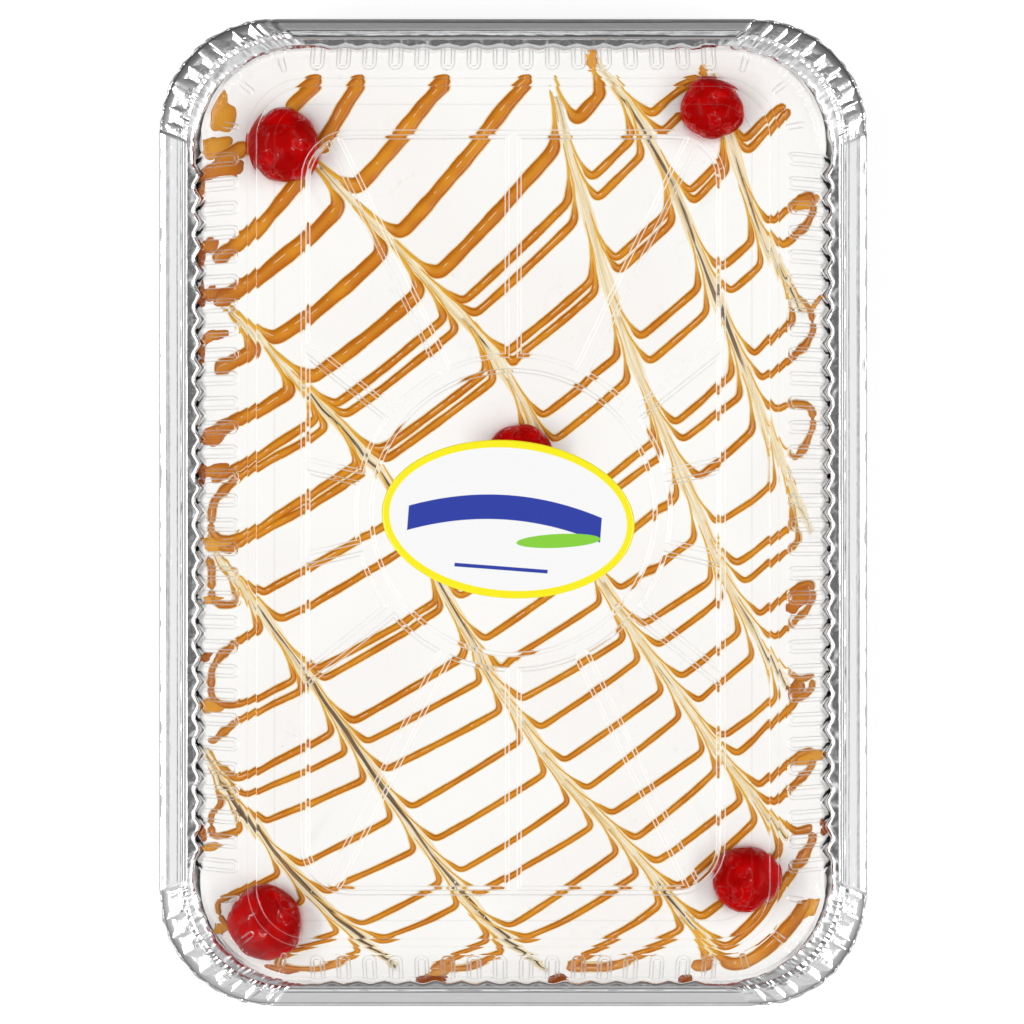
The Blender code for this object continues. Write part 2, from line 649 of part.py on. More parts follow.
def combine(body, pieces, operation):
    """One Boolean of a body with a collection of pieces, applied, the pieces then removed."""
    group = bpy.data.collections.new(operation)
    bpy.context.scene.collection.children.link(group)
    for piece in pieces:
        bpy.context.scene.collection.objects.unlink(piece)
        group.objects.link(piece)
        piece.hide_render = True
        piece.display_type = "WIRE"
    step = body.modifiers.new(operation, "BOOLEAN")
    step.operand_type = "COLLECTION"
    step.collection = group
    step.operation = operation
    step.solver = "EXACT"
    bpy.context.view_layer.update()
    result = bpy.data.meshes.new_from_object(body.evaluated_get(bpy.context.evaluated_depsgraph_get()))
    body.modifiers.clear()
    body.data = result
    for piece in pieces:
        bpy.data.objects.remove(piece)
    bpy.data.collections.remove(group)


def wall_level(height):
    """The tray's inner wall at a height."""
    return between(FLOOR_EDGE, SEAT_EDGE, (height - FLOOR_ROUND_Z) / (SEAT_Z - FLOOR_ROUND_Z))


def make_cake():
    shoulder_z = CREAM_Z - CREAM_EDGE_ROLL
    shoulder = inset(wall_level(shoulder_z), CAKE_CLEARANCE)
    foot_z = FLOOR_ROUND_Z + GAP
    foot = inset(wall_level(foot_z), CAKE_CLEARANCE)
    cream_level = inset(shoulder, CREAM_EDGE_ROLL)
    levels = ((inset(FLOOR_FLAT, CAKE_CLEARANCE), FLOOR_Z + GAP), (foot, foot_z),
              (shoulder, shoulder_z), (cream_level, CREAM_Z))
    rings = [raised(outline(level, CAKE_CORNER_STEPS)[0], height) for level, height in levels]
    cake = finish("cake", closed_rings(rings), CREAM, CREAM_ROUGHNESS)

    lines = [smooth_line(points) for points in DRAGS]
    combine(cake, drizzle(lines, cream_level), "UNION")
    cutters = grooves(lines)
    for name, x, y, radius, squash, _ in CHERRIES:
        bm = ball(radius * POCKET_SCALE, squash, POCKET_STEPS)
        pocket = finish(name + "_pocket", bm, CREAM, CREAM_ROUGHNESS)
        pocket.location = (x, y, CREAM_Z + CHERRY_RIDE * radius)
        cutters.append(pocket)
    combine(cake, cutters, "DIFFERENCE")
    cake.data.shade_smooth()
    cake.data.set_sharp_from_angle(angle=math.radians(30))
    return cake


for old in list(bpy.data.objects):
    bpy.data.objects.remove(old)

make_tray()
make_cake()
for cherry_row in CHERRIES:
    make_cherry(*cherry_row)
make_lid()
make_label()
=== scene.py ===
"""Tres leches cake in a shut foil tray: its looks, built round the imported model."""

import math

import bpy
import numpy as np
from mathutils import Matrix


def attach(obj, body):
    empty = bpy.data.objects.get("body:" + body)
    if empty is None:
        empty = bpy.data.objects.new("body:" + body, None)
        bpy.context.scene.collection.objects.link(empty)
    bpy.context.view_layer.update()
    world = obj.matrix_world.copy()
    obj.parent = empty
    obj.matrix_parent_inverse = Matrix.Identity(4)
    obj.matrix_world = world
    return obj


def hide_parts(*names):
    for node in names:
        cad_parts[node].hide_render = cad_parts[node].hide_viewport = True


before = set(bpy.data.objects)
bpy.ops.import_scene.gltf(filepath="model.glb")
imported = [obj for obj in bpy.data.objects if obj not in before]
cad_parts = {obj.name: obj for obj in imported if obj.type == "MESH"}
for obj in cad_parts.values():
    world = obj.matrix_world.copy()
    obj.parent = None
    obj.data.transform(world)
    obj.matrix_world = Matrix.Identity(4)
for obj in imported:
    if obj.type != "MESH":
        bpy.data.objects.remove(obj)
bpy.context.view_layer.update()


# ---------------------------------------------------------------- foil tray
# Pressed from one sheet of bright aluminium foil.  Along the sides its lip is rolled smooth and
# folded over the lid's flange; round the corners the spare foil stands in loose, sharp pleats.

class Wire:
    """A value in a finish's node tree; arithmetic on it adds Math nodes."""

    def __init__(self, finish, socket):
        self.finish, self.socket = finish, socket

    def math(self, operation, *values):
        return self.finish.node("Math", {"operation": operation}, dict(enumerate(values)))

    def __add__(self, other):
        return self.math("ADD", self, other)

    def __sub__(self, other):
        return self.math("SUBTRACT", self, other)

    def __mul__(self, other):
        return self.math("MULTIPLY", self, other)

    def __rsub__(self, other):
        return self.math("SUBTRACT", other, self)

    def __abs__(self):
        return self.math("ABSOLUTE", self)

    __radd__, __rmul__ = __add__, __mul__

    def step(self, low, high):
        """A smooth step, 0 up to low and 1 from high on."""
        return self.finish.node("MapRange", {"interpolation_type": "SMOOTHSTEP"},
                                {"Value": self, "From Min": low, "From Max": high})

    def most(self, other):
        return self.math("MAXIMUM", self, other)


class Finish:
    """One material or world: its main shader's even values, and node() for all that varies."""

    def __init__(self, name, kind=bpy.data.materials, shader="Principled BSDF", **even):
        self.block = kind.new(name)
        self.block.use_nodes = True
        self.tree = self.block.node_tree
        self.shader = self.tree.nodes[shader]
        self.shade = Wire(self, self.shader.outputs[0])
        for socket, value in even.items():
            self.feed(self.shader.inputs[socket.replace("_", " ")], value)

    def feed(self, socket, value):
        if isinstance(value, Wire):
            self.tree.links.new(value.socket, socket)
        elif socket.type == "RGBA" and len(value) == 3:
            socket.default_value = (*value, 1.0)
        else:
            socket.default_value = value

    def node(self, kind, settings, sockets, out=0):
        """Any other node: its type, its settings (set first) and its sockets' values or wires."""
        made = self.tree.nodes.new("ShaderNode" + kind)
        for name, value in settings.items():
            setattr(made, name, value)
        for name, value in sockets.items():
            self.feed(made.inputs[name], value)
        return Wire(self, made.outputs[out])

    def paint(self, socket, wire):
        self.feed(self.shader.inputs[socket], wire)

    def mix(self, share, first, second):
        """A colour between two."""
        return self.node("Mix", {"data_type": "RGBA"}, {0: share, 6: first, 7: second}, out=2)

    def show(self, wire):
        """Wire a shader to the output in place of the main one."""
        output = next(node for node in self.tree.nodes if "Surface" in node.inputs)
        self.feed(output.inputs["Surface"], wire)

    def own(self, name, out="Fac"):
        """A value that the mesh carries at each point."""
        return self.node("Attribute", {"attribute_name": name}, {}, out)

    def place(self):
        return self.node("TexCoord", {}, {}, "Object")

    def stretch(self, vector, *scales):
        return self.node("VectorMath", {"operation": "MULTIPLY"}, {0: vector, 1: scales})

    def noise(self, vector, scale, detail=2.0, roughness=0.5):
        return self.node("TexNoise", {}, {"Vector": vector, "Scale": scale, "Detail": detail,
                                          "Roughness": roughness})

    def bump(self, height, distance, strength=1.0):
        """Relief too fine for the mesh, as deep as the distance in metres."""
        self.paint("Normal", self.node("Bump", {}, {"Height": height, "Distance": distance,
                                                    "Strength": strength}))


def dress(name, points, faces, finish, carries=None, stands_for=()):
    """A smooth-shaded piece from points and faces, with the values its points carry."""
    mesh = bpy.data.meshes.new(name)
    mesh.from_pydata(points, [], faces)
    mesh.update()
    mesh.shade_smooth()
    for label, values in (carries or {}).items():
        values = np.asarray(values, dtype=np.float32)
        kind, field = ("FLOAT", "value") if values.ndim == 1 else ("FLOAT_VECTOR", "vector")
        mesh.attributes.new(label, kind, "POINT").data.foreach_set(field, values.ravel())
    mesh.materials.append(finish.block)
    piece = bpy.data.objects.new(name, mesh)
    bpy.context.scene.collection.objects.link(piece)
    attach(piece, "root")
    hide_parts(*stands_for)
    return piece


def bands(rows, columns, start=0):
    """Faces between rows of points that each close on themselves."""
    first = start + np.arange(rows - 1)[:, None] * columns + np.arange(columns)
    after = start + np.arange(rows - 1)[:, None] * columns + (np.arange(columns) + 1) % columns
    quads = np.stack((first, after, after + columns, first + columns), axis=-1)
    return quads.reshape(-1, 4).tolist()


def tube_faces(rows, columns, start=0):
    """A closed strip: rows of points that close on themselves, with its two ends."""
    faces = bands(rows, columns, start)
    faces.append(list(range(start, start + columns))[::-1])
    faces.append(list(range(start + (rows - 1) * columns, start + rows * columns)))
    return faces


def outline(level, places):
    """Plan points and outward normals round a rounded rectangle (half X, half Y, corner radius).

    Places run from 0 to 8: a corner, the straight after it and so on, from +X anticlockwise."""
    half_x, half_y, radius = level
    span = np.floor(places).astype(int) % 8
    share = places - np.floor(places)
    corner = span // 2
    straight = span % 2 == 1
    turn = (corner + np.where(straight, 1.0, share)) * math.pi / 2
    normals = np.column_stack((np.cos(turn), np.sin(turn)))
    sign_x = np.where((corner == 0) | (corner == 3), 1.0, -1.0)
    sign_y = np.where(corner < 2, 1.0, -1.0)
    centres = np.column_stack((sign_x * (half_x - radius), sign_y * (half_y - radius)))
    run = np.where(corner % 2 == 0, 2 * (half_x - radius), 2 * (half_y - radius))
    along = np.column_stack((-normals[:, 1], normals[:, 0]))
    forward = np.where(straight, run * share, 0.0)
    return centres + radius * normals + along * forward[:, None], normals


def between(level_a, level_b, share):
    """The level a share of the way from one to the other."""
    return tuple(a + (b - a) * share for a, b in zip(level_a, level_b))


def inset(level, amount):
    """The same outline, smaller all round."""
    half_x, half_y, radius = level
    return (half_x - amount, half_y - amount, radius - amount)


def grown(rows, plan, heights):
    """Add one level's points to a list of rows."""
    rows.append(np.column_stack((plan, np.broadcast_to(heights, len(plan)))))


def step(x, low, high):
    """A smooth step from 0 to 1."""
    x = np.clip((np.asarray(x, float) - low) / (high - low), 0, 1)
    return x * x * (3 - 2 * x)


def wander(size, pace):
    """A smooth random wave from -1 to 1 round a closed row of points, one swing per pace."""
    keys = rng.uniform(-1, 1, size // pace)
    places = np.arange(size) * len(keys) / size
    low = np.floor(places).astype(int)
    share = step(places - low, 0, 1)
    return keys[low % len(keys)] * (1 - share) + keys[(low + 1) % len(keys)] * share


RIM = (0.1075, 0.150, 0.034)
LIP_INNER = (0.0989, 0.1437, 0.031)
FOLD_INNER = (0.1066, 0.1491, 0.0331)
SEAT_EDGE = (0.097, 0.1440, 0.0345)
FLOOR_EDGE = (0.088, 0.133, 0.018)
FLOOR_FLAT = (0.086, 0.131, 0.016)
FLOOR_Z, FLOOR_ROUND_Z, SEAT_Z, LIP_UNDER_Z = 0.0005, 0.0025, 0.041, 0.0421
FOIL = 0.0004

# The lip's section: distances from its outer edge and heights, in millimetres
SIDE_LIP = ((0.0, 41.2), (0.15, 41.8), (0.4, 41.98), (1.9, 42.5), (2.0, 42.52), (2.1, 42.53),
            (3.4, 42.65), (3.5, 42.665), (3.6, 42.685), (5.25, 42.98), (5.4, 42.995),
            (5.75, 43.02),
            (5.85, 43.035), (6.3, 43.12), (6.4, 43.13), (6.6, 43.145), (6.7, 43.16), (7.0, 43.22),
            (7.1, 43.235), (7.35, 43.235), (7.45, 43.2), (8.1, 42.75), (8.6, 42.5))
FRONT_LIP = ((0.0, 41.2), (0.12, 41.7), (0.3, 41.87), (2.2, 42.32), (4.1, 42.8), (4.25, 42.83),
             (4.45, 42.68), (4.8, 42.72), (5.3, 42.78), (5.5, 42.6), (6.3, 42.45))
REAR_LIP = ((0.0, 41.2), (0.12, 41.7), (0.3, 41.87), (3.5, 42.62), (3.65, 42.63), (4.9, 42.41),
            (5.1, 42.38), (5.55, 42.33), (5.65, 42.33), (6.1, 42.43), (6.2, 42.42), (6.3, 42.36))
CORNER_LIP = ((0.0, 41.2), (0.4, 41.6), (2.6, 42.15), (5.2, 42.75), (7.0, 43.0), (7.9, 42.8),
              (8.6, 42.45))
FACETS = 18                         # flat facets of foil round each corner
FACET_HEIGHT = 0.00055
FACET_BULGE = 0.7
CREASE_HEIGHT = 0.0002
PLEAT_COLUMNS = 150
SIDE_COLUMNS, END_COLUMNS = 210, 112
CRINKLE = 0.0002
SIDE_ZIGZAG, END_ZIGZAG = 0.0021, 0.0010
SEAT_DIP = 0.0006                   # how far the lid's seat leans in at the corners
RIBBED_HALF = (0.0630, 0.1101)      # straight parts of the lid's wall, whose ribs shape the foil
LONG_RIBS, SHORT_RIBS, CORNER_RIBS = 30, 16, 3

rng = np.random.default_rng(11)
tray_places = np.concatenate([
    span + np.linspace(0, 1, {0: PLEAT_COLUMNS, 1: END_COLUMNS, 3: SIDE_COLUMNS}[
        0 if span % 2 == 0 else span % 4], endpoint=False)
    for span in range(8)])
tray_span = np.floor(tray_places).astype(int)
tray_share = tray_places - tray_span
tray_count = len(tray_places)
in_corner = tray_span % 2 == 0
on_end = tray_span % 4 == 1


def folded_foil(folds, reach, lean, lifts):
    """Heights of curved facets round the four corners, their fold lines leaning by a share."""
    widths_from, lifts_from = np.random.default_rng(23), np.random.default_rng(lifts)
    heights = np.zeros(tray_count)
    for span in (0, 2, 4, 6):
        widths = widths_from.uniform(0.35, 1.9, folds)
        breaks = np.concatenate(((0.0,), np.cumsum(widths) / widths.sum()))
        lift = lifts_from.uniform(0.2, 1.0, folds + 1) * np.where(np.arange(folds + 1) % 2, 1, -1)
        lift[[0, -1]] = 0.0
        bulge = lifts_from.uniform(-1, 1, folds) * FACET_BULGE
        here = tray_span == span
        place = np.clip(tray_share[here] + lean * np.sin(tray_share[here] * 2 * math.pi * 3), 0, 1)
        facet = np.minimum(np.searchsorted(breaks, place, side="right") - 1, folds - 1)
        within = (place - breaks[facet]) / np.diff(breaks)[facet]
        curve = bulge[facet] * 4 * within * (1 - within)
        heights[here] = (np.interp(place, breaks, lift) + curve) * reach
    return heights


outer_folds = folded_foil(FACETS, FACET_HEIGHT, 0.0, 1)
inner_folds = folded_foil(FACETS * 2, FACET_HEIGHT * 0.45, 0.03, 2)
small_creases = folded_foil(FACETS * 3, CREASE_HEIGHT, 0.0, 3)
wall_folds = folded_foil(FACETS, 0.0005, 0.0, 1)

corner_dip = in_corner * step(np.minimum(tray_share, 1 - tray_share), 0, 0.15)

tray_rows = []
grain_rows = []
crumple_rows = []


def rib_swing(plan, crosswise):
    """How near the gap between two of the lid's ribs points lie, 0 at a rib and 1 in a gap."""
    place = np.where(crosswise, plan[:, 0] / (2 * RIBBED_HALF[0]) * SHORT_RIBS,
                     plan[:, 1] / (2 * RIBBED_HALF[1]) * LONG_RIBS) + LONG_RIBS / 2
    return 2 * np.abs(place - np.floor(place) - 0.5)


def tray_row(level, height, folds=0.0, crinkle=0.0, push=0.0, across=0.0, grow=0.0, crumple=0.0,
             pressed=0.0):
    """One level of the tray, with its share of the corners' folds, some random crinkling and the
    zigzag that follows the lid's ribs."""
    plan, normals = outline(inset(level, -grow), tray_places)
    zigzag = np.where(in_corner, 0.0, np.where(on_end, END_ZIGZAG, SIDE_ZIGZAG))
    zigzag *= rib_swing(plan, on_end) * step(np.minimum(tray_share, 1 - tray_share), 0.0, 0.04)
    evened = np.interp(normals[:, 1], (-1, -0.6, 0.6, 1), (0.0006, 0, 0, 0.0026))
    push = push + pressed * (zigzag + evened)
    shift = -(np.abs(wander(tray_count, 2)) + np.abs(wander(tray_count, 5))) * crinkle
    plan = plan - normals * (np.maximum(push, 0.0) + 0.6 * shift)[:, None]
    grown(tray_rows, plan, height + folds + shift)
    lengthwise = np.where(on_end, plan[:, 0], plan[:, 1])
    radial = np.arctan2(normals[:, 1], normals[:, 0]) * level[2]
    grain_rows.append(np.column_stack((
        np.where(in_corner, across, lengthwise + tray_span),
        np.where(in_corner, radial, across + tray_span),
        in_corner * 1.0)))
    crumple_rows.append(np.full(tray_count, crumple))


lip_shares = np.unique(np.concatenate([np.array([key[0] for key in lip]) / lip[-1][0]
                                       for lip in (SIDE_LIP, FRONT_LIP, REAR_LIP, CORNER_LIP)]))
lip_width = RIM[0] - LIP_INNER[0]
side_wave = wander(tray_count, 31) * 0.000015

tray_row(FLOOR_FLAT, FLOOR_Z, across=0.080)
tray_row(between(FLOOR_FLAT, FLOOR_EDGE, 0.7), FLOOR_Z + 0.0008, across=0.062)
tray_row(FLOOR_EDGE, FLOOR_ROUND_Z, across=0.060)
for share in (0.3, 0.6, 0.8, 0.87, 0.92, 0.97):
    tray_row(between(FLOOR_EDGE, SEAT_EDGE, share),
             FLOOR_ROUND_Z + (SEAT_Z - FLOOR_ROUND_Z) * share,
             push=np.maximum(wall_folds, 0) * share, crinkle=CRINKLE * share,
             across=0.060 - 0.04 * share, pressed=float(step(share, 0.79, 0.88)))
tray_row(SEAT_EDGE, SEAT_Z - 0.0002 - SEAT_DIP * corner_dip, crinkle=CRINKLE, across=0.020,
         crumple=1.0, pressed=1.0)
for share in (0.12, 0.24, 0.36, 0.5, 0.7, 1.0):
    tray_row(between(SEAT_EDGE, FOLD_INNER, share),
             SEAT_Z - 0.0001 - SEAT_DIP * corner_dip * max(0.0, 1 - 2 * share),
             crinkle=CRINKLE * (share < 0.6), across=0.020 - 0.008 * share, crumple=1.0,
             pressed=float(1 - step(share, 0.1, 0.6)))
tray_row(FOLD_INNER, LIP_UNDER_Z, across=0.0115)
tray_row(between(FOLD_INNER, LIP_INNER, 0.5), LIP_UNDER_Z, across=0.0105)
tray_row(LIP_INNER, LIP_UNDER_Z, across=0.0095)
for share in lip_shares[::-1]:
    side, front, rear, corner = (np.interp(share * lip[-1][0], *zip(*lip))
                                 for lip in (SIDE_LIP, FRONT_LIP, REAR_LIP, CORNER_LIP))
    height = np.select((in_corner, tray_span == 1, on_end), (corner, rear, front), side) / 1000
    messy = float(step(share, 0.6, 0.95))
    folds = (outer_folds * (1 - messy) + inner_folds * messy) * (1 - 0.45 * share)
    folds = folds + small_creases * (0.15 + 0.85 * messy)
    folds = np.where(in_corner, folds * min(1.0, 0.3 + 4 * share), side_wave)
    push = np.where(in_corner, (FACET_HEIGHT - outer_folds) * 0.6 * (1 - share), 0.00005)
    tray_row(between(RIM, LIP_INNER, share), height, folds=folds, push=push,
             crinkle=np.where(in_corner, 0.00004, 0.000004), across=lip_width * share)
edge_push = np.where(in_corner, (FACET_HEIGHT - outer_folds) * 0.6, 0.00005)
tray_row(inset(RIM, 0.0004), SEAT_Z - 0.0004, push=edge_push, across=-0.001)
tray_row(inset(RIM, 0.0009), SEAT_Z - 0.0005, push=edge_push, across=-0.002)
for share in (0.5, 0.85):
    tray_row(between(inset(RIM, 0.0009), SEAT_EDGE, share), SEAT_Z - 3 * FOIL * share,
             across=-0.006)
for share in (1.0, 0.9, 0.75, 0.6, 0.4, 0.2):
    tray_row(between(FLOOR_EDGE, SEAT_EDGE, share),
             FLOOR_ROUND_Z + (SEAT_Z - FLOOR_ROUND_Z) * share - 3 * FOIL * share,
             push=np.maximum(wall_folds, 0) * share, across=-0.014 - 0.04 * (1 - share),
             grow=FOIL * (1 + share))
tray_row(FLOOR_EDGE, FLOOR_ROUND_Z - FOIL, across=-0.054, grow=FOIL)
tray_row(between(FLOOR_FLAT, FLOOR_EDGE, 0.7), 0.0007, across=-0.056, grow=FOIL)
tray_row(FLOOR_FLAT, 0.0, across=-0.058, grow=FOIL)

foil = Finish("bright_foil", Base_Color=(0.83, 0.83, 0.84), Metallic=1.0)
grain = foil.own("grain", "Vector")
streaks = foil.noise(foil.stretch(grain, 14.0, 1900.0, 1.0), 1.0, 2.0)
dents = foil.noise(foil.place(), 420.0, 1.0)
crush = foil.noise(foil.place(), 260.0, 1.0, 0.5) * foil.own("crumple")
foil.paint("Roughness", 0.05 + streaks * 0.05 + dents * 0.03 + foil.own("crumple") * 0.10
           + foil.own("crimped") * 0.10)
foil.bump(streaks * 0.1 + dents * 0.2 + crush * 2.0, 0.00015)

tray_points = np.vstack(tray_rows)
tray_faces = tube_faces(len(tray_rows), tray_count)
dress("foil_tray_crimped", tray_points, tray_faces, foil,
      {"grain": np.vstack(grain_rows), "crumple": np.concatenate(crumple_rows),
       "crimped": np.tile(in_corner * 1.0, len(tray_rows))}, ["foil_tray"])


# ---------------------------------------------------------------- cake and its cream
# A block of milk-soaked sponge that fills the tray, under a smooth coat of whipped cream.
# The cream is dented under each cherry and furrowed by seven strokes of a skewer.

CREAM_Z = 0.038
CREAM_EDGE_ROLL, CREAM_LIP = 0.0016, 0.0007
CAKE_CLEARANCE = 0.0007
GAP = 0.0003
CREAM_PACE = 0.00095
CORNER_ROWS = 22

# Each cherry's node, place, radius, flatness and turn
CHERRIES = (
    ("cherry_rear_left", -0.0699, 0.1115, 0.0112, 0.94, 0.3),
    ("cherry_rear_right", 0.0604, 0.1227, 0.0096, 0.93, 1.2),
    ("cherry_middle", 0.0019, 0.0172, 0.0099, 0.95, 2.2),
    ("cherry_front_left", -0.0751, -0.1244, 0.0113, 0.90, 3.6),
    ("cherry_front_right", 0.0709, -0.1112, 0.0103, 0.94, 5.1),
)
CHERRY_RIDE = 0.45
POCKET_SCALE = 1.06

# Each stroke of the skewer pulls the caramel towards its first point; in millimetres
DRAGS = (
    ((61, 134), (68, 107), (76.5, 84), (88, 61)),
    ((23, 141), (42, 113), (58.5, 75), (73.5, 36), (87.5, 1), (90.5, -6.5)),
    ((13, 127), (22.5, 91), (35.5, 49.5), (53, 8), (68, -26), (84, -54)),
    ((-59, 105), (-26, 70.5), (1, 37), (28, -22), (51, -56), (72, -85), (84, -100)),
    ((-85.5, 61), (-60, 34), (-37.5, 7.5), (-14.5, -36.5), (13, -78), (35.5, -102.5), (63, -136)),
    ((-93.5, -8.5), (-72, -37), (-52.5, -64.5), (-30, -97), (-7, -125.5), (10, -139)),
    ((-94, -72), (-83, -90.5), (-67.5, -109), (-52.5, -124.5), (-36, -138)),
)


def wall_level(height):
    """The tray's inner wall at a height."""
    return between(FLOOR_EDGE, SEAT_EDGE, (height - FLOOR_ROUND_Z) / (SEAT_Z - FLOOR_ROUND_Z))


def smooth_line(points, steps=10):
    """A smooth curve through the points."""
    points = np.array(points)
    padded = np.vstack((2 * points[0] - points[1], points, 2 * points[-1] - points[-2]))
    pieces = []
    share = np.linspace(0, 1, steps, endpoint=False)[:, None]
    for a, b, c, d in zip(padded, padded[1:], padded[2:], padded[3:]):
        pieces.append(0.5 * (2 * b + (c - a) * share + (2 * a - 5 * b + 4 * c - d) * share ** 2
                             + (3 * b - a - 3 * c + d) * share ** 3))
    return np.vstack(pieces + [points[-1:]])


def nearest(line, points):
    """Distance of each point from the line, the line's direction there, towards its start, and
    the way from the line to the point."""
    start, stride = line[:-1], np.diff(line, axis=0)
    square = (stride ** 2).sum(axis=1)
    share = np.clip(((points[:, None] - start) * stride).sum(axis=2) / square, 0, 1)
    away = points[:, None] - start - share[..., None] * stride
    distance = np.linalg.norm(away, axis=2)
    best = distance.argmin(axis=1)
    each = np.arange(len(points))
    return distance[each, best], -(stride / np.sqrt(square)[:, None])[best], away[each, best]


drag_lines = [smooth_line(np.array(points) / 1000) for points in DRAGS]
shoulder_z = CREAM_Z - CREAM_EDGE_ROLL
shoulder = inset(wall_level(shoulder_z), CAKE_CLEARANCE)
cream_level = inset(shoulder, CREAM_EDGE_ROLL)

cream_top = inset(cream_level, CREAM_LIP)
half_x, half_y, corner_radius = cream_top
straight_rows = np.linspace(-(half_y - corner_radius), half_y - corner_radius,
                            int(2 * (half_y - corner_radius) / CREAM_PACE))
arc = np.linspace(0, math.pi / 2, CORNER_ROWS + 1)[1:]
corner_y = half_y - corner_radius + corner_radius * np.sin(arc)
row_y = np.concatenate((-corner_y[::-1], straight_rows, corner_y))
beyond = np.maximum(np.abs(row_y) - (half_y - corner_radius), 0)
row_half = half_x - corner_radius + np.sqrt(np.maximum(corner_radius ** 2 - beyond ** 2, 0))
cream_columns = int(2 * half_x / CREAM_PACE)
column_share = np.linspace(-1, 1, cream_columns)
top_x = row_half[:, None] * column_share
top_y = np.broadcast_to(row_y[:, None], top_x.shape)
top_plan = np.column_stack((top_x.ravel(), top_y.ravel()))

furrow = np.full(len(top_plan), 1.0)
for line in drag_lines:
    lows, highs = line.min(axis=0) - 0.004, line.max(axis=0) + 0.004
    near = ((top_plan > lows) & (top_plan < highs)).all(axis=1)
    furrow[near] = np.minimum(furrow[near], nearest(line, top_plan[near])[0])
top_z = CREAM_Z - 0.0012 * (1 - step(furrow, 0.0004, 0.0013))
blush = np.zeros(len(top_plan))
for _, x, y, radius, squash, _ in CHERRIES:
    away = np.hypot(top_plan[:, 0] - x, top_plan[:, 1] - y)
    pocket = radius * POCKET_SCALE
    dip = CREAM_Z + CHERRY_RIDE * radius - squash * np.sqrt(np.maximum(pocket ** 2 - away ** 2, 0))
    top_z = np.where(away < pocket, np.minimum(top_z, dip), top_z)
    blush = np.maximum(blush, 1 - step(away, radius * 0.92, radius * 1.2))
swell = (np.sin(top_plan[:, 0] * 61 + 1.3) * np.sin(top_plan[:, 1] * 47)
         + 0.6 * np.sin(top_plan[:, 0] * 130 + top_plan[:, 1] * 97))
top_z = top_z + 0.00007 * swell

row_count = len(row_y)
index = np.arange(row_count * cream_columns).reshape(row_count, cream_columns)
cream_faces = np.stack((index[:-1, :-1], index[:-1, 1:], index[1:, 1:], index[1:, :-1]),
                       axis=-1).reshape(-1, 4).tolist()
rim_index = np.concatenate((index[0, :-1], index[:-1, -1], index[-1, :0:-1], index[:0:-1, 0]))
rim_plan = top_plan[rim_index]
rim_normal = np.sign(rim_plan) * np.maximum(np.abs(rim_plan)
                                            - (half_x - corner_radius, half_y - corner_radius), 0)
rim_normal /= np.linalg.norm(rim_normal, axis=1)[:, None]
cream_points = [np.column_stack((top_plan, top_z))]
on_long = np.abs(rim_normal[:, 0]) > 0.999
on_short = np.abs(rim_normal[:, 1]) > 0.999
bulge = np.interp(rim_normal[:, 1], (-1, -0.8, 0.8, 1), (0.0029, 0.0016, 0.0016, 0.0014))
swing = rib_swing(rim_plan, on_short) - 0.5
scallop = np.where(on_long, -0.0022 * swing, np.where(on_short, -0.0010 * swing, 0.0))
rest = np.where(on_short, half_x - np.abs(rim_plan[:, 0]), half_y - np.abs(rim_plan[:, 1]))
straight = step(np.minimum(rest - corner_radius, 0.004), -0.001, 0.003)
scallop = bulge + scallop * straight + 0.0010 * (1 - straight)
to_shoulder = CREAM_LIP + CREAM_EDGE_ROLL
roll = [(0.4 * scallop, CREAM_Z - 0.0001), (0.8 * scallop, CREAM_Z - 0.0004),
        (scallop, CREAM_Z - 0.0010), (np.minimum(scallop, 0.0024), shoulder_z - 0.0012),
        (0.5 * scallop + 0.5 * to_shoulder, shoulder_z - 0.003)]
foot_z = FLOOR_ROUND_Z + GAP
low_z = shoulder_z - 0.004
for share in (0.1, 0.4, 0.7, 1.0):
    height = low_z + (foot_z - low_z) * share
    roll.append((to_shoulder + wall_level(height)[0] - wall_level(shoulder_z)[0], height))
roll.append((roll[-1][0] - 0.002, FLOOR_Z + GAP))
for out, height in roll:
    out = np.broadcast_to(out, len(rim_plan))[:, None]
    grown(cream_points, rim_plan + rim_normal * out, height)
skirt_start = len(top_plan)
rim_count = len(rim_index)
ring = np.arange(rim_count)
after = (ring + 1) % rim_count
cream_faces += np.stack((rim_index, skirt_start + ring, skirt_start + after, rim_index[after]),
                        axis=-1).tolist()
cream_faces += [face[::-1] for face in bands(len(roll), rim_count, skirt_start)]
cream_faces.append(list(range(skirt_start + (len(roll) - 1) * rim_count,
                              skirt_start + len(roll) * rim_count))[::-1])
spare = np.zeros(len(roll) * rim_count)

cream = Finish("whipped_cream", Roughness=0.42, Specular_IOR_Level=0.35)
where = cream.place()
mottle = cream.noise(where, 22.0, 1.0)
scratches = cream.noise(cream.stretch(where, 260.0, 60.0, 60.0), 1.0, 1.0, 0.65)
tint = cream.mix(mottle.step(0.42, 0.68), (0.918, 0.908, 0.889), (0.900, 0.876, 0.856))
# Painted shade: thin grey lines in patches, standing for the shade in fine cracks of the cream
crack_shade = 1 - abs(cream.noise(where, 38.0, 4.0, 0.6) - 0.5).step(0.0, 0.003)
crack_shade = crack_shade * cream.noise(cream.stretch(where, 17.0, 23.0, 17.0), 1.0, 0.0).step(0.56, 0.64)
tint = cream.mix(crack_shade * 0.3, tint, (0.62, 0.58, 0.52))
tint = cream.mix(cream.own("blush") * 0.25, tint, (0.93, 0.60, 0.56))
cream.paint("Base Color", tint)
cream.bump(scratches.step(0.45, 0.75), 0.00006)
dress("cake_under_cream", np.vstack(cream_points), cream_faces, cream,
      {"blush": np.concatenate((blush, spare))}, ["cake"])
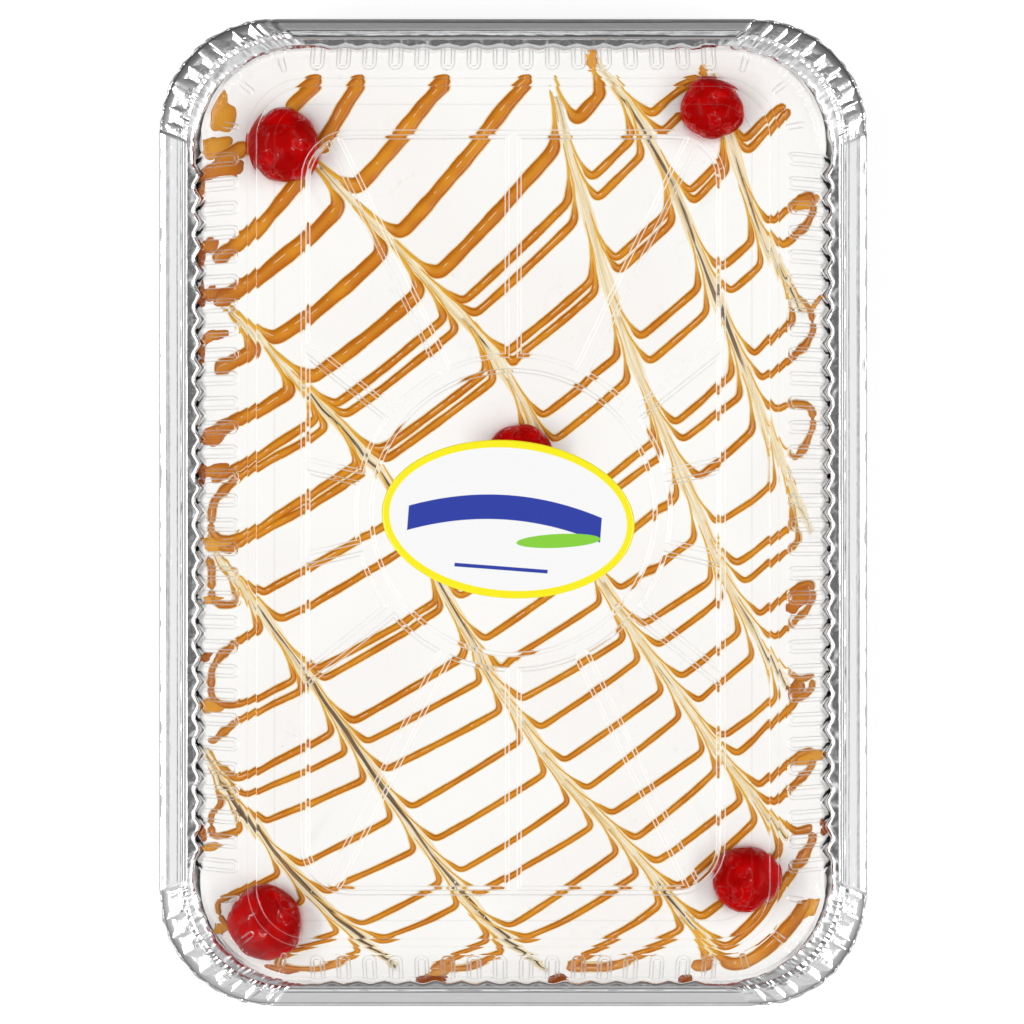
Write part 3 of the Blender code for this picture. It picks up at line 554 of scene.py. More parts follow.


# ---------------------------------------------------------------- skewer strokes
# Where the skewer ran it left a shallow furrow, smeared pale tan with drawn-out caramel and with a
# dark brown line wandering down it in places.

SMEAR_HALF = 0.0023
SMEAR_PACE = 0.0007
SMEAR_SECTION = (-1.0, -0.85, -0.65, -0.42, -0.25, -0.1, 0.1, 0.25, 0.42, 0.65, 0.85, 1.0)


def run_of(path):
    """The length along a path up to each of its points."""
    return np.append(0.0, np.cumsum(np.linalg.norm(np.diff(path[:, :2], axis=0), axis=1)))


def evenly(path, pace):
    """The path, and any values beside it, with its points evenly spaced, about the pace apart."""
    along = run_of(path)
    places = np.linspace(0, along[-1], max(2, round(along[-1] / pace)))
    return np.column_stack([np.interp(places, along, column) for column in path.T])


def across(points):
    """Unit sideways directions along a line."""
    along = np.gradient(points, axis=0)
    return np.column_stack((along[:, 1], -along[:, 0])) / np.linalg.norm(along, axis=1)[:, None]


# How dark the line down each furrow is along each stroke: shares of the way and darkness
SMEAR_DARK = (
    ((0, .2), (.35, .6), (1, .7)),
    ((0, 0), (.08, .3), (.14, .8), (.34, .95), (.42, .6), (.5, 1), (.62, 1), (.72, .5), (.8, .1),
     (1, .3)),
    ((0, 0), (.8, 0), (.87, .7), (1, .6)),
    ((0, 0), (.25, 0), (.29, .6), (.34, .1), (.72, 0), (.76, .3), (.95, .1), (1, .9)),
    ((0, .1), (.1, .3), (.14, .7), (.28, .8), (.45, .7), (.53, .6), (.58, .2), (.86, .1), (.9, .9),
     (1, .5)),
    ((0, 0), (.12, .2), (.17, .7), (.3, .7), (.36, 1), (.6, 1), (.7, .6), (.76, .95), (.93, 1),
     (1, .8)),
    ((0, .2), (.1, .5), (.2, 1), (.9, 1), (1, .9)),
)

smear_points, smear_faces, smear_across, smear_along, smear_dark = [], [], [], [], []
smear_columns = len(SMEAR_SECTION) + 2
for number, line in enumerate(drag_lines):
    middle = evenly(line, SMEAR_PACE)
    sideways = across(middle)
    share = np.linspace(0, 1, len(middle))
    taper = (SMEAR_HALF * (0.35 + 0.65 * step(share, 0, 0.12))
             * (0.55 + 0.45 * step(1 - share, 0, 0.2)))
    taper = taper * (1 + 0.12 * np.sin(np.arange(len(middle)) * 0.21 + number))
    wobble = 0.00022 * np.sin(np.arange(len(middle)) * 0.13 + 2 * number)
    start = sum(len(points) for points in smear_points)
    section = []
    for place in SMEAR_SECTION:
        depth = 0.00085 * math.exp(-(place / 0.22) ** 2)
        shoulder_rise = 0.0001 * math.exp(-((abs(place) - 0.5) / 0.18) ** 2)
        edge = 0.00012 * step(abs(place), 0.82, 1.0)
        offset = taper * place + wobble * (1 - abs(place))
        height = CREAM_Z + 0.00012 - depth + shoulder_rise - 2 * edge
        grown(section, middle + sideways * offset[:, None], height)
    for place in (0.9, -0.9):
        grown(section, middle + sideways * (taper * place)[:, None], CREAM_Z - 0.0013)
    rows = np.stack(section, axis=1)
    smear_points.append(rows.reshape(-1, 3))
    smear_faces += tube_faces(len(middle), smear_columns, start)
    smear_across.append(np.tile(SMEAR_SECTION + (1.0, -1.0), len(middle)))
    smear_along.append(np.repeat(np.arange(len(middle)) * SMEAR_PACE + number, smear_columns))
    smear_dark.append(np.repeat(np.interp(share, *zip(*SMEAR_DARK[number])), smear_columns))

smear = Finish("dragged_caramel", Roughness=0.35, Specular_IOR_Level=0.3)
aside, forth, darkness = smear.own("aside"), smear.own("forth"), smear.own("dark")
strands = smear.noise(smear.node("CombineXYZ", {}, {0: forth * 34.0, 1: aside * 3.4, 2: 0.0}),
                      1.0, 3.0, 0.6)
cuts = smear.noise(smear.node("CombineXYZ", {}, {0: forth * 30.0, 1: aside * 1.2, 2: 4.0}),
                   1.0, 4.0, 0.6)
drift = smear.noise(smear.node("CombineXYZ", {}, {0: forth * 30.0, 1: 7.0, 2: 0.0}), 1.0)
tan = smear.mix(strands.step(0.42, 0.66), (0.87, 0.79, 0.60), (0.76, 0.56, 0.27))
tan = smear.mix(abs(aside).step(0.45, 0.75) * strands.step(0.35, 0.55) * 0.6, tan,
                (0.86, 0.60, 0.22))
# A dark brown line wanders down the middle of each furrow, stronger where the stroke is darker
core = 1 - (abs(aside + drift * 1.5 - 0.75) - darkness * darkness * 0.22).step(0.0, 0.07)
core = core * (cuts + darkness * 0.35).step(0.62, 0.74)
core_colour = smear.mix(strands.step(0.4, 0.6), (0.055, 0.020, 0.006), (0.24, 0.12, 0.05))
tan = smear.mix(core * 0.92, tan, core_colour)
edge = (abs(aside) + strands * 0.4 - 0.2).step(0.62, 0.96)
smear.paint("Base Color", smear.mix(edge, tan, (0.955, 0.935, 0.905)))
smear.bump(strands, 0.00012)
dress("skewer_smears", np.vstack(smear_points), smear_faces, smear,
      {"aside": np.concatenate(smear_across), "forth": np.concatenate(smear_along),
       "dark": np.concatenate(smear_dark)})


# ---------------------------------------------------------------- caramel lines
# Piped to and fro in one long zigzag and pulled into points by the skewer.  Soft caramel: low
# glossy beads, deep amber in the middle and golden where they thin out.

# Each line of the zigzag, in millimetres: how far round the tray its ends lie, by the left and
# front and by the rear and right, its sag and its width
STROKES = np.array((
    (27, 34, 3, 4.7), (57, 47, 5.5, 4.3), (70, 73, 6, 4.7), (90.5, 98, 9, 4.3), (109, 124, 10, 4),
    (124, 147, 8, 2.4), (127, 155, 9.5, 2.3), (145, 183.5, 8, 2.2), (147.5, 189, 9, 2.2),
    (164, 218.5, 9.5, 2.1), (176.5, 228, 9, 2), (194.5, 254, 10.5, 1.8), (201, 265, 6.5, 1.8),
    (217, 277.5, 9.5, 2), (223.5, 300, 7.5, 1.6), (232.5, 317.5, 7.5, 1.8), (252, 323, 7.5, 1.6),
    (262.5, 336.5, 10, 1.6), (288, 345.5, 10, 1.5), (302, 366, 6.5, 1.6), (338, 370.5, 5.5, 1.7),
    (346, 388, 5.5, 1.8), (379, 394.5, 3.5, 2), (388, 411, 5.5, 2.2), (418, 417, 4.5, 2.6),
    (424, 435, 4.5, 3.4),
)) / 1000
PIPED_LEFT, PIPED_RIGHT, PIPED_FRONT, PIPED_REAR = -0.0935, 0.0915, -0.1412, 0.1325
PIPED_ROUND = 0.030
SAG_LEAN = 0.35
SINGLE_LINES = 5                     # lines at the rear left that don't turn back
STROKE_KEYS = 9
PULL = 0.038
PULL_REACH = (0.0019, 0.0021, 0.0021, 0.0018, 0.0017, 0.0017, 0.0017)
PULL_CLING, PULL_END = 0.4, 0.017
PATH_PACE = 0.00008
SMOOTHINGS = 24
SMOOTHING_PACE = 0.0005
CREAM_MARGIN = 0.0008
NUDGE = 0.0001
BEAD_RISE = 0.0008
BEAD_SECTION = (-1.0, -0.85, -0.45, 0.0, 0.45, 0.85, 1.0)
BEAD_FRINGE = 0.00034                # thin caramel that creeps out beside each bead
ROUNDED_PACE = 0.00022
LONGEST_STRIDE = 0.0014
BEAD_FAIR = 0.00002
THICK_BEYOND = (0.0824, 0.1500, 0.019)   # outside this the caramel lies thicker, so darker


def pulled(points):
    """Where the skewer strokes carry points of the caramel, and how far they draw each of them."""
    moved, drawn = points.copy(), np.zeros(len(points))
    for line, reach in zip(drag_lines, PULL_REACH):
        distance, towards, away = nearest(line, points)
        pull = PULL * np.exp(-(distance / reach) ** 2)
        moved += towards * pull[:, None] - away * (PULL_CLING * step(pull, 0.002, 0.012))[:, None]
        drawn = np.maximum(drawn, pull)
    return moved, drawn


def rounded(path, reach):
    """An evenly spaced path with its bends rounded off, as soft caramel does by itself."""
    weights = np.exp(-0.5 * (np.arange(-3 * reach, 3 * reach, ROUNDED_PACE) / reach) ** 2)
    first, last = len(weights) // 2, (len(weights) - 1) // 2
    padded = np.vstack((np.tile(path[:1], (first, 1)), path, np.tile(path[-1:], (last, 1))))
    weights /= weights.sum()
    return np.column_stack([np.convolve(column, weights, "valid") for column in padded.T])


def inside(points, level):
    """How far inside a rounded rectangle each point lies, negative outside."""
    half_x, half_y, radius = level
    point = np.abs(points) - (half_x - radius, half_y - radius)
    beyond = np.linalg.norm(np.maximum(point, 0.0), axis=1)
    return radius - beyond - np.minimum(point.max(axis=1), 0.0)


def eased(x, y):
    """A point on the piped area's square outline, moved onto its rounded corner."""
    low, high = np.array((PIPED_LEFT, PIPED_FRONT)), np.array((PIPED_RIGHT, PIPED_REAR))
    middle, straight = (low + high) / 2, (high - low) / 2 - PIPED_ROUND
    offset = np.array((x, y)) - middle
    beyond = np.abs(offset) - straight
    if beyond.min() > 0:
        beyond *= min(1.0, PIPED_ROUND / np.linalg.norm(beyond))
    return middle + np.sign(offset) * (straight + beyond)


def stroke_ends(left, right):
    """Ends of a line, from how far round the left and front and the rear and right they lie."""
    down = PIPED_REAR - PIPED_FRONT
    run = PIPED_RIGHT - PIPED_LEFT
    start = ((PIPED_LEFT, PIPED_REAR - left) if left < down
             else (PIPED_LEFT + left - down, PIPED_FRONT))
    end = ((PIPED_LEFT + right, PIPED_REAR) if right < run
           else (PIPED_RIGHT, PIPED_REAR - right + run))
    return eased(*start), eased(*end)


def stroke_keys(number, trim_start=0.0, trim_end=0.0):
    """Points along a line as piped, a shallow bow cut short at its ends for the turns."""
    left, right, sag, _ = STROKES[number]
    start, end = stroke_ends(left, right)
    chord = end - start
    length = np.linalg.norm(chord)
    sideways = np.array((chord[1], -chord[0])) / length
    share = np.linspace(trim_start / length, 1 - trim_end / length, STROKE_KEYS)[:, None]
    lean = 1 + SAG_LEAN * (1 - 2 * share)
    bow = sag * 4 * share * (1 - share) * lean
    return start + chord * share + sideways * bow


def turn(number, side):
    """The line joined to this one at side 0, the left, or 1, the right: its number, the middle of
    the turn between them and half the gap it spans; None where the line just ends."""
    if number < SINGLE_LINES:
        return None
    leads_there = (number - SINGLE_LINES + side) % 2 == 1
    mate = number + 1 if leads_there else number - 1
    if mate < SINGLE_LINES or mate >= len(STROKES):
        return None
    ends = [stroke_ends(*STROKES[i][:2])[side] for i in (number, mate)]
    return mate, (ends[0] + ends[1]) / 2, np.linalg.norm(ends[1] - ends[0]) / 2


def held_inside(points, level, room):
    """Points moved in, where needed, to lie at least their own room inside a rounded rectangle."""
    lacking = np.maximum(room + NUDGE - inside(points, level), 0.0)
    corner = np.array(level[:2]) - level[2]
    beyond = np.sign(points) * np.maximum(np.abs(points) - corner, 0.0)
    size = np.maximum(np.linalg.norm(beyond, axis=1), NUDGE)
    return points - beyond / size[:, None] * lacking[:, None]


def piped_path(number):
    """A line as piped, before the skewer, reaching to the middle of the turns at its ends."""
    turns = [turn(number, side) for side in (0, 1)]
    trims = [found[2] if found else 0.0 for found in turns]
    keys = [stroke_keys(number, *trims)]
    for side, found in enumerate(turns):
        if found:
            mate, middle, half_gap = found
            beyond = stroke_keys(mate, half_gap, half_gap)[-side]
            keys = keys + [(middle,), (beyond,)] if side else [(beyond,), (middle,)] + keys
    path = evenly(smooth_line(np.vstack(keys)), SMOOTHING_PACE)
    path = evenly(held_inside(path, inset(cream_level, CREAM_MARGIN), STROKES[number][3] / 2),
                  SMOOTHING_PACE)
    for _ in range(SMOOTHINGS):
        path[1:-1] = (path[:-2] + 2 * path[1:-1] + path[2:]) / 4
    first, last = 0, len(path)
    for side, found in enumerate(turns):
        if found:
            halfway = np.linalg.norm(path - found[1], axis=1).argmin()
            if side:
                last = halfway + 2
            else:
                first = halfway - 1
    return evenly(path[max(first, 0):last], PATH_PACE)


def stations(points):
    """Indices of the points that keep a line true, none further apart than the longest stride."""
    keep, work = {0, len(points) - 1}, [(0, len(points) - 1)]
    while work:
        first, last = work.pop()
        if last - first < 2:
            continue
        chord = points[last] - points[first]
        length = max(np.linalg.norm(chord), 1e-9)
        away = points[first + 1:last] - points[first]
        distance = np.abs(chord[0] * away[:, 1] - chord[1] * away[:, 0]) / length
        worst = int(distance.argmax())
        if distance[worst] <= BEAD_FAIR:
            if length <= LONGEST_STRIDE:
                continue
            worst = (last - first) // 2 - 1
        middle = first + 1 + worst
        keep.add(middle)
        work += [(first, middle), (middle, last)]
    return sorted(keep)


bead_points, bead_faces, bead_aside, bead_drawn, bead_girth = [], [], [], [], []
bead_columns = len(BEAD_SECTION) + 4
bead_rng = np.random.default_rng(5)
made = 0
for number, (_, _, _, width) in enumerate(STROKES):
    piped = piped_path(number)
    if number < SINGLE_LINES:
        piped = np.vstack((piped, piped[-1] + np.arange(1, 22)[:, None] * (piped[-1] - piped[-2])))
    middle, drawn = pulled(piped)
    middle = evenly(np.column_stack((middle, drawn)), ROUNDED_PACE)
    middle, drawn = rounded(middle[:, :2], 0.0005 + 0.22 * width), middle[:, 2]
    clear = (inside(middle, cream_level) > CREAM_MARGIN) & (drawn < PULL_END)
    for _, x, y, radius, _, _ in CHERRIES:
        clear &= np.linalg.norm(middle - (x, y), axis=1) > radius * 0.93
    breaks = np.flatnonzero(np.diff(clear.astype(int))) + 1
    for run in np.split(np.arange(len(middle)), breaks):
        if not clear[run[0]] or len(run) < 8:
            continue
        picked = run[stations(middle[run])]
        if len(picked) < 4:
            continue
        centre, stretched = middle[picked], drawn[picked]
        sideways = across(centre)
        along = run_of(centre)
        turning = np.gradient(np.unwrap(np.arctan2(sideways[:, 1], sideways[:, 0])), along)
        tightest = 0.9 / np.maximum(np.abs(turning), 1.0)
        swell_phase = bead_rng.uniform(0, 7)
        half = width * 0.5 * (1 - 0.76 * step(stretched, 0.0, 0.0065))
        half *= 1 - 0.5 * step(stretched, 0.006, PULL_END)
        half *= (1 + 0.05 * np.sin(along * 310 + swell_phase)
                 + 0.03 * np.sin(along * 720 + 2 * swell_phase))
        half = np.maximum(half, 0.00012)
        ends = np.minimum(along, along[-1] - along)
        half *= np.sqrt(np.clip(ends / half + 0.02, 0.0, 1.0))
        rise = np.minimum(BEAD_RISE, 0.5 * half)
        fringe = np.minimum(BEAD_FRINGE, 0.9 * half)
        section = []
        for place, beyond, height in ([(-1.0, -1, -0.0003), (-1.0, -1, 0.00014)]
                                      + [(place, 0, 0.0002) for place in BEAD_SECTION]
                                      + [(1.0, 1, 0.00014), (1.0, 1, -0.0003)]):
            offset = half * place + fringe * beyond
            inner_side = np.sign(place) == -np.sign(turning)
            offset = np.where(inner_side, np.clip(offset, -tightest, tightest), offset)
            crown = (1 - abs(place) ** 2.4) * rise + height
            section.append(np.column_stack((centre + sideways * offset[:, None], CREAM_Z + crown)))
        start = made * bead_columns
        bead_points.append(np.stack(section, axis=1).reshape(-1, 3))
        bead_faces += tube_faces(len(centre), bead_columns, start)
        made += len(centre)
        bead_aside.append(np.tile((-1.3, -1.3) + BEAD_SECTION + (1.3, 1.3), len(centre)))
        bead_drawn.append(np.repeat(step(stretched, 0.0005, 0.008), bead_columns))
        bead_girth.append(np.repeat(half * 1000, bead_columns))
thick = step(-inside(np.vstack(bead_points)[:, :2], THICK_BEYOND), 0.0, 0.004)
dark_at = [0.3 * thick]

# Caramel that ran together at the edges: centre, half length and width in millimetres, turn in
# degrees, height in millimetres and darkness
POOLS = (
    (-88.4, 121.5, 6, 4.2, 78, 37.95, 0), (-90.5, 111.3, 4.4, 3.6, 20, 37.95, 0.1),
    (-89.2, 104.5, 7.2, 3, 12, 37.95, 0.15), (-94.5, 98, 4, 1, 88, 37.6, 0.6),
    (-94.5, 79, 5, 1.1, 92, 37.6, 0.9), (-93, 81, 4, 2.2, 30, 37.95, 0.3),
    (-94.5, 66, 4.6, 1, 88, 37.6, 0.9), (-92.5, 66.5, 4.2, 2, 30, 37.95, 0.3),
    (-91.5, 53.5, 4.8, 2, 22, 37.95, 0.2), (-94.5, 49, 3.4, 1, 90, 37.6, 0.8),
    (-90.5, 24, 5.5, 3, 25, 37.95, 0.15), (-94, 12, 3.4, 1.2, 90, 37.6, 0.9),
    (-90, 12.5, 6, 2.4, 10, 37.95, 0.25), (-90, -9.5, 5, 2.2, 15, 37.95, 0),
    (-91.5, -26.5, 3.6, 1.2, 5, 37.95, 0), (-93.5, -44, 3, 1.2, 20, 37.7, 0.7),
    (-91.5, -59, 4, 2.2, 5, 37.95, 0), (-94, -98, 2.6, 1.2, 80, 37.7, 0.5),
    (-92.5, -102, 4.4, 1.4, 8, 37.95, 0.1), (-90.5, -127.5, 5.5, 2.4, 25, 37.95, 0.1),
    (88.5, 94.5, 4.2, 2.6, 35, 37.95, 0.1), (91.5, 63, 3.6, 1, 60, 37.95, 0.1),
    (86.8, -26, 4.8, 3.2, 60, 37.95, 0.3), (86.2, -54, 3.2, 2.8, 80, 37.95, 0.5),
    (90.5, -74.5, 5.2, 2, 10, 37.95, 0.1), (94, -96, 2.8, 1.1, 88, 37.6, 0.9),
    (90, -120.5, 5.6, 3, 30, 37.95, 0), (24, 137.5, 3, 1.6, 75, 37.95, 0),
    (-25, -141.6, 4.4, 1.3, 0, 37.8, 1), (-22.5, -139.6, 5.6, 1.8, 32, 37.95, 0.05),
    (14, -141.6, 3.6, 1.3, 0, 37.8, 1), (52.5, -141.6, 2.2, 1.2, 0, 37.8, 0.9),
    (-70, -138.8, 6, 1.6, -4, 37.8, 0.3),
)
POOL_STEPS, POOL_RINGS = 40, (1.0, 0.93, 0.8, 0.6, 0.3)
POOL_RISE = 0.0006
pool_angles = np.arange(POOL_STEPS) * 2 * math.pi / POOL_STEPS
pool_start = made * bead_columns
for *sizes, degrees, height, darkness in POOLS:
    x, y, long_way, short_way = np.array(sizes) / 1000
    waves = bead_rng.uniform(0, 7, 3)
    shape = 1 + sum(swing * np.sin(lobes * pool_angles + wave) for swing, lobes, wave in
                    zip((0.14, 0.12, 0.07), (2, 3, 5), waves))
    cos, sin = math.cos(math.radians(degrees)), math.sin(math.radians(degrees))
    edge = np.column_stack((long_way * np.cos(pool_angles), short_way * np.sin(pool_angles)))
    edge = (edge * shape[:, None]) @ np.array(((cos, sin), (-sin, cos))) + (x, y)
    edge = held_inside(edge, inset(cream_level, -0.0007 - 0.0018 * (darkness > 0.35)), 0.0)
    rows = []
    for ring in (1.0,) + POOL_RINGS:
        lift = POOL_RISE * (1 - ring ** 3 if rows else -1)
        grown(rows, (x, y) + (edge - (x, y)) * ring, height / 1000 + lift)
    bead_points.append(np.vstack(rows))
    bead_faces += tube_faces(len(rows), POOL_STEPS, pool_start)
    pool_start += len(rows) * POOL_STEPS
    bead_aside.append(np.repeat((1.0,) + POOL_RINGS, POOL_STEPS))
    bead_drawn.append(np.full(len(rows) * POOL_STEPS, 0.45 * (darkness < 0.12)))
    bead_girth.append(np.zeros(len(rows) * POOL_STEPS))
    dark_at.append(np.full(len(rows) * POOL_STEPS, darkness))

caramel = Finish("soft_caramel", Roughness=0.22, Specular_IOR_Level=0.12, Coat_Weight=0.2,
                 Coat_Roughness=0.05)
place = caramel.place()
flow = caramel.noise(place, 95.0, 1.0)
speck = caramel.noise(place, 700.0, 2.0)
amber = caramel.mix(flow.step(0.35, 0.7), (0.52, 0.150, 0.003), (0.64, 0.235, 0.007))
aside = abs(caramel.own("aside")) + speck * 0.2 - 0.1
girth = caramel.own("girth")
# Painted highlight: lighter down the middle of each bead; painted shade: darker towards its edges
amber = caramel.mix((1 - aside.step(0.1, 0.6)) * 0.3, amber, (0.78, 0.36, 0.05))
amber = caramel.mix(aside.step(0.55, 0.95) * 0.7, amber, (0.42, 0.100, 0.002))
amber = caramel.mix(caramel.own("drawn") * 0.85, amber, (0.80, 0.42, 0.035))
amber = caramel.mix(aside.step(1.0, 1.15) * 0.9, amber, (0.95, 0.80, 0.42))
# Painted highlight: pale dashes near the middle of the wide beads, where the lamps would glint
glint = (1 - (abs(caramel.own("aside") + 0.2) * girth).step(0.05, 0.12)) * girth.step(0.7, 1.1)
glint = glint * caramel.noise(place, 330.0, 2.0).step(0.5, 0.58)
amber = caramel.mix(glint * 0.7, amber, (0.95, 0.86, 0.70))
amber = caramel.mix(caramel.own("deep"), amber, (0.26, 0.048, 0.001))
caramel.paint("Base Color", amber)
caramel.bump(flow, 0.00015)
dress("caramel_lines", np.vstack(bead_points), bead_faces, caramel,
      {"aside": np.concatenate(bead_aside), "drawn": np.concatenate(bead_drawn),
       "girth": np.concatenate(bead_girth), "deep": np.concatenate(dark_at)})


# ---------------------------------------------------------------- cherries
# Five candied cocktail cherries, pressed a little into the cream: wet, glossy, with the dimple
# where the stem was and a few soft creases in the skin.

CHERRY_DIMPLE, CHERRY_DIMPLE_SPREAD, CHERRY_TILT = 0.20, 0.3, 0.25
CHERRY_OVAL, CHERRY_LOBE = 0.03, 0.02
CHERRY_AROUND, CHERRY_DOWN = 96, 56

cherry_skin = Finish("candied_cherry", Roughness=0.25, Specular_IOR_Level=0.02,
                     Coat_Roughness=0.04)
place = cherry_skin.place()
flesh = cherry_skin.noise(place, 130.0, 3.0)
pits = cherry_skin.noise(place, 900.0, 2.0)
cherry_skin.paint("Base Color", cherry_skin.mix(flesh.step(0.35, 0.7), (0.34, 0.0, 0.0),
                                                (0.55, 0.0, 0.0)))
syrup = cherry_skin.noise(place, 300.0, 4.0, 0.6)
wrinkles = 1 - abs(cherry_skin.noise(place, 150.0, 3.0) - 0.5).step(0.006, 0.022)
cherry_skin.paint("Coat Weight", (wrinkles * 0.9).most(syrup.step(0.57, 0.61) * 0.6) + 0.03)
cherry_skin.bump(flesh * 0.6 + pits * 0.2 - wrinkles * 0.3, 0.0003)

for name, x, y, radius, squash, twist in CHERRIES:
    theta = np.linspace(0, math.pi, CHERRY_DOWN)
    phi = np.arange(CHERRY_AROUND) * 2 * math.pi / CHERRY_AROUND
    down, round_ = np.meshgrid(theta, phi, indexing="ij")
    ball = np.stack((np.sin(down) * np.cos(round_), np.sin(down) * np.sin(round_), np.cos(down)),
                    axis=-1)
    flat = np.hypot(ball[..., 0], ball[..., 1])
    crease = 0.018 * np.sin(5 * round_ + 3 * twist + 2 * np.cos(down)) * np.sin(down) ** 2
    crease += 0.012 * np.sin(9 * ball[..., 0] + 4 * twist) * np.sin(7 * ball[..., 1])
    ball = ball * (1 + crease)[..., None] * radius
    ball[..., 2] *= squash
    dent = radius * CHERRY_DIMPLE * np.exp(-(flat / CHERRY_DIMPLE_SPREAD) ** 2)
    ball[..., 2] -= np.where(ball[..., 2] > 0, dent, 0)
    lobe = 1.0 - CHERRY_OVAL * np.cos(2 * round_) - CHERRY_LOBE * np.cos(3 * round_ + twist)
    ball[..., :2] *= lobe[..., None]
    points = ball.reshape(-1, 3)
    points = np.vstack((points[:1], points[CHERRY_AROUND:-CHERRY_AROUND], points[-1:]))
    rows = CHERRY_DOWN - 2
    faces = [face[::-1] for face in bands(rows, CHERRY_AROUND, 1)]
    last = 1 + (rows - 1) * CHERRY_AROUND
    for i in range(CHERRY_AROUND):
        j = (i + 1) % CHERRY_AROUND
        faces.append((0, 1 + i, 1 + j))
        faces.append((last + j, last + i, len(points) - 1))
    cherry = dress(name + "_fruit", points, faces, cherry_skin, stands_for=[name])
    cherry.location = (x, y, CREAM_Z + CHERRY_RIDE * radius)
    cherry.rotation_euler = (CHERRY_TILT * math.cos(twist), CHERRY_TILT * math.sin(twist), twist)


# ---------------------------------------------------------------- lid
# Thermoformed from thin clear sheet.  Rounded ribs stiffen its wall; its top has a raised frame
# and fourteen panels between spokes that run out from a ring.

FLANGE = (0.1059, 0.1484, 0.0324)
WALL_BASE = (0.0952, 0.1422, 0.030)
WALL_UPPER = (0.0868, 0.1357, 0.022)
WALL_TOP = (0.0824, 0.1330, 0.019)
PLATEAU = (0.0768, 0.1276, 0.0155)
FIELD_OUTER = (0.0636, 0.1147, 0.015)
FIELD_INNER = (0.0622, 0.1133, 0.0136)
FLANGE_Z, WALL_UPPER_Z, WALL_TOP_Z, PLATEAU_Z, FIELD_Z = 0.0418, 0.0535, 0.0572, 0.0605, 0.0593
PANEL_RISE, BEVEL_RUN, LID_SKIN = 0.0008, 0.0012, 0.0005
RIB_HEIGHT = 0.0008
RIB_HALF, NARROW_RIB_HALF = 0.0022, 0.0011
RIB_EDGE = 0.00045
RIB_PHASES = (0.0, 0.17, 0.2, 0.23, 0.27, 0.33, 0.36, 0.43, 0.57, 0.64, 0.67, 0.73, 0.77, 0.8,
              0.83)
LONG_FLARE, SHORT_FLARE = 0.0019, 0.0006
FLARE_RISE = 0.0042
SPOKES, SPOKE_WIDTH = 14, 0.0024
RING_OUTER, RING_INNER = 0.0466, 0.0432
RIDGE_PLACES = (0.48, 0.95)         # fine ridges along the top's rounded edge
RIDGE_HEIGHT = 0.00006
PLATEAU_LINE = 0.0052               # a fine line this far inside the top's edge
BEND_HALF = 0.00011                 # half the width of the bright line at each tight bend
BORDER_STEPS = (-0.0003, -0.0001, 0.0001, 0.0003, 0.0009, 0.0011, 0.0013, 0.0015)
INNER_STEPS = (-0.0001, 0.0001, 0.0011, 0.0013)

CORNER_CROWD = ((0, .17, .2, .27, .36, .5, .64, .73, .8, .83, 1),
                (0, .36, .4, .42, .44, .5, .56, .58, .6, .64, 1))   # where narrow ribs want them

lid_places, rib_phase = [], []
for span in range(8):
    count = CORNER_RIBS if span % 2 == 0 else (SHORT_RIBS if span % 4 == 1 else LONG_RIBS)
    phases = np.interp(RIB_PHASES, *CORNER_CROWD) if span % 2 == 0 else RIB_PHASES
    lid_places += [span + (rib + phase) / count for rib in range(count) for phase in phases]
    rib_phase += [phase for rib in range(count) for phase in phases]
lid_places, rib_phase = np.array(lid_places), np.array(rib_phase)
lid_count = len(lid_places)
lid_span = np.floor(lid_places).astype(int)
lid_corner, lid_end = lid_span % 2 == 0, lid_span % 4 == 1


def lid_outline(level):
    """Plan points and outward normals of one level, its ribs in line with those of the others."""
    half_x, half_y, radius = level
    plan, normals = np.empty((lid_count, 2)), np.empty((lid_count, 2))
    long_rest, short_rest = half_y - radius - RIBBED_HALF[1], half_x - radius - RIBBED_HALF[0]
    arc_length = radius * math.pi / 2
    for span in range(8):
        here = lid_span == span
        share = lid_places[here] - span
        quarter = span // 2
        if span % 2:
            run = RIBBED_HALF[0] if span % 4 == 1 else RIBBED_HALF[1]
            side = np.where(quarter % 2 == 0, half_y, half_x)
            local = np.column_stack((run * (1 - 2 * share), np.full(share.size, float(side))))
            normal = np.column_stack((np.zeros(share.size), np.ones(share.size)))
        else:
            wide, tall = (half_x, half_y) if quarter % 2 == 0 else (half_y, half_x)
            first, last = (long_rest, short_rest) if quarter % 2 == 0 else (short_rest, long_rest)
            along = share * (first + arc_length + last)
            angle = np.clip((along - first) / radius, 0, math.pi / 2)
            normal = np.column_stack((np.cos(angle), np.sin(angle)))
            local = np.array((wide - radius, tall - radius)) + radius * normal
            local[:, 1] -= np.maximum(first - along, 0)
            local[:, 0] -= np.maximum(along - first - arc_length, 0)
        cos, sin = math.cos(quarter * math.pi / 2), math.sin(quarter * math.pi / 2)
        spin = np.array(((cos, sin), (-sin, cos)))
        plan[here], normals[here] = local @ spin, normal @ spin
    return plan, normals


lid_foot, lid_normals = lid_outline(WALL_BASE)
rib_top = ((lid_foot - lid_outline(WALL_TOP)[0]) * lid_normals).sum(axis=1)


def rib_depth(level):
    """How far inside a rib's outline the points of one level lie, negative outside."""
    pitch = np.where(lid_corner, 0.0135, np.where(lid_end, 2 * RIBBED_HALF[0] / SHORT_RIBS,
                                                  2 * RIBBED_HALF[1] / LONG_RIBS))
    half = np.where(lid_corner, NARROW_RIB_HALF, RIB_HALF)
    run = ((lid_foot - lid_outline(level)[0]) * lid_normals).sum(axis=1)
    shown = np.where(lid_corner, step(run, rib_top - 0.0055, rib_top - 0.0045), 1.0)
    return half - np.hypot((rib_phase - 0.5) * pitch, np.maximum(run - (rib_top - half), 0)), shown


def bright_line(distance):
    """1 where a point lies on a tight bend of the sheet, painted with a highlight line, 0 beside
    it.
    """
    return 1 - step(np.abs(distance), BEND_HALF, 2.2 * BEND_HALF)


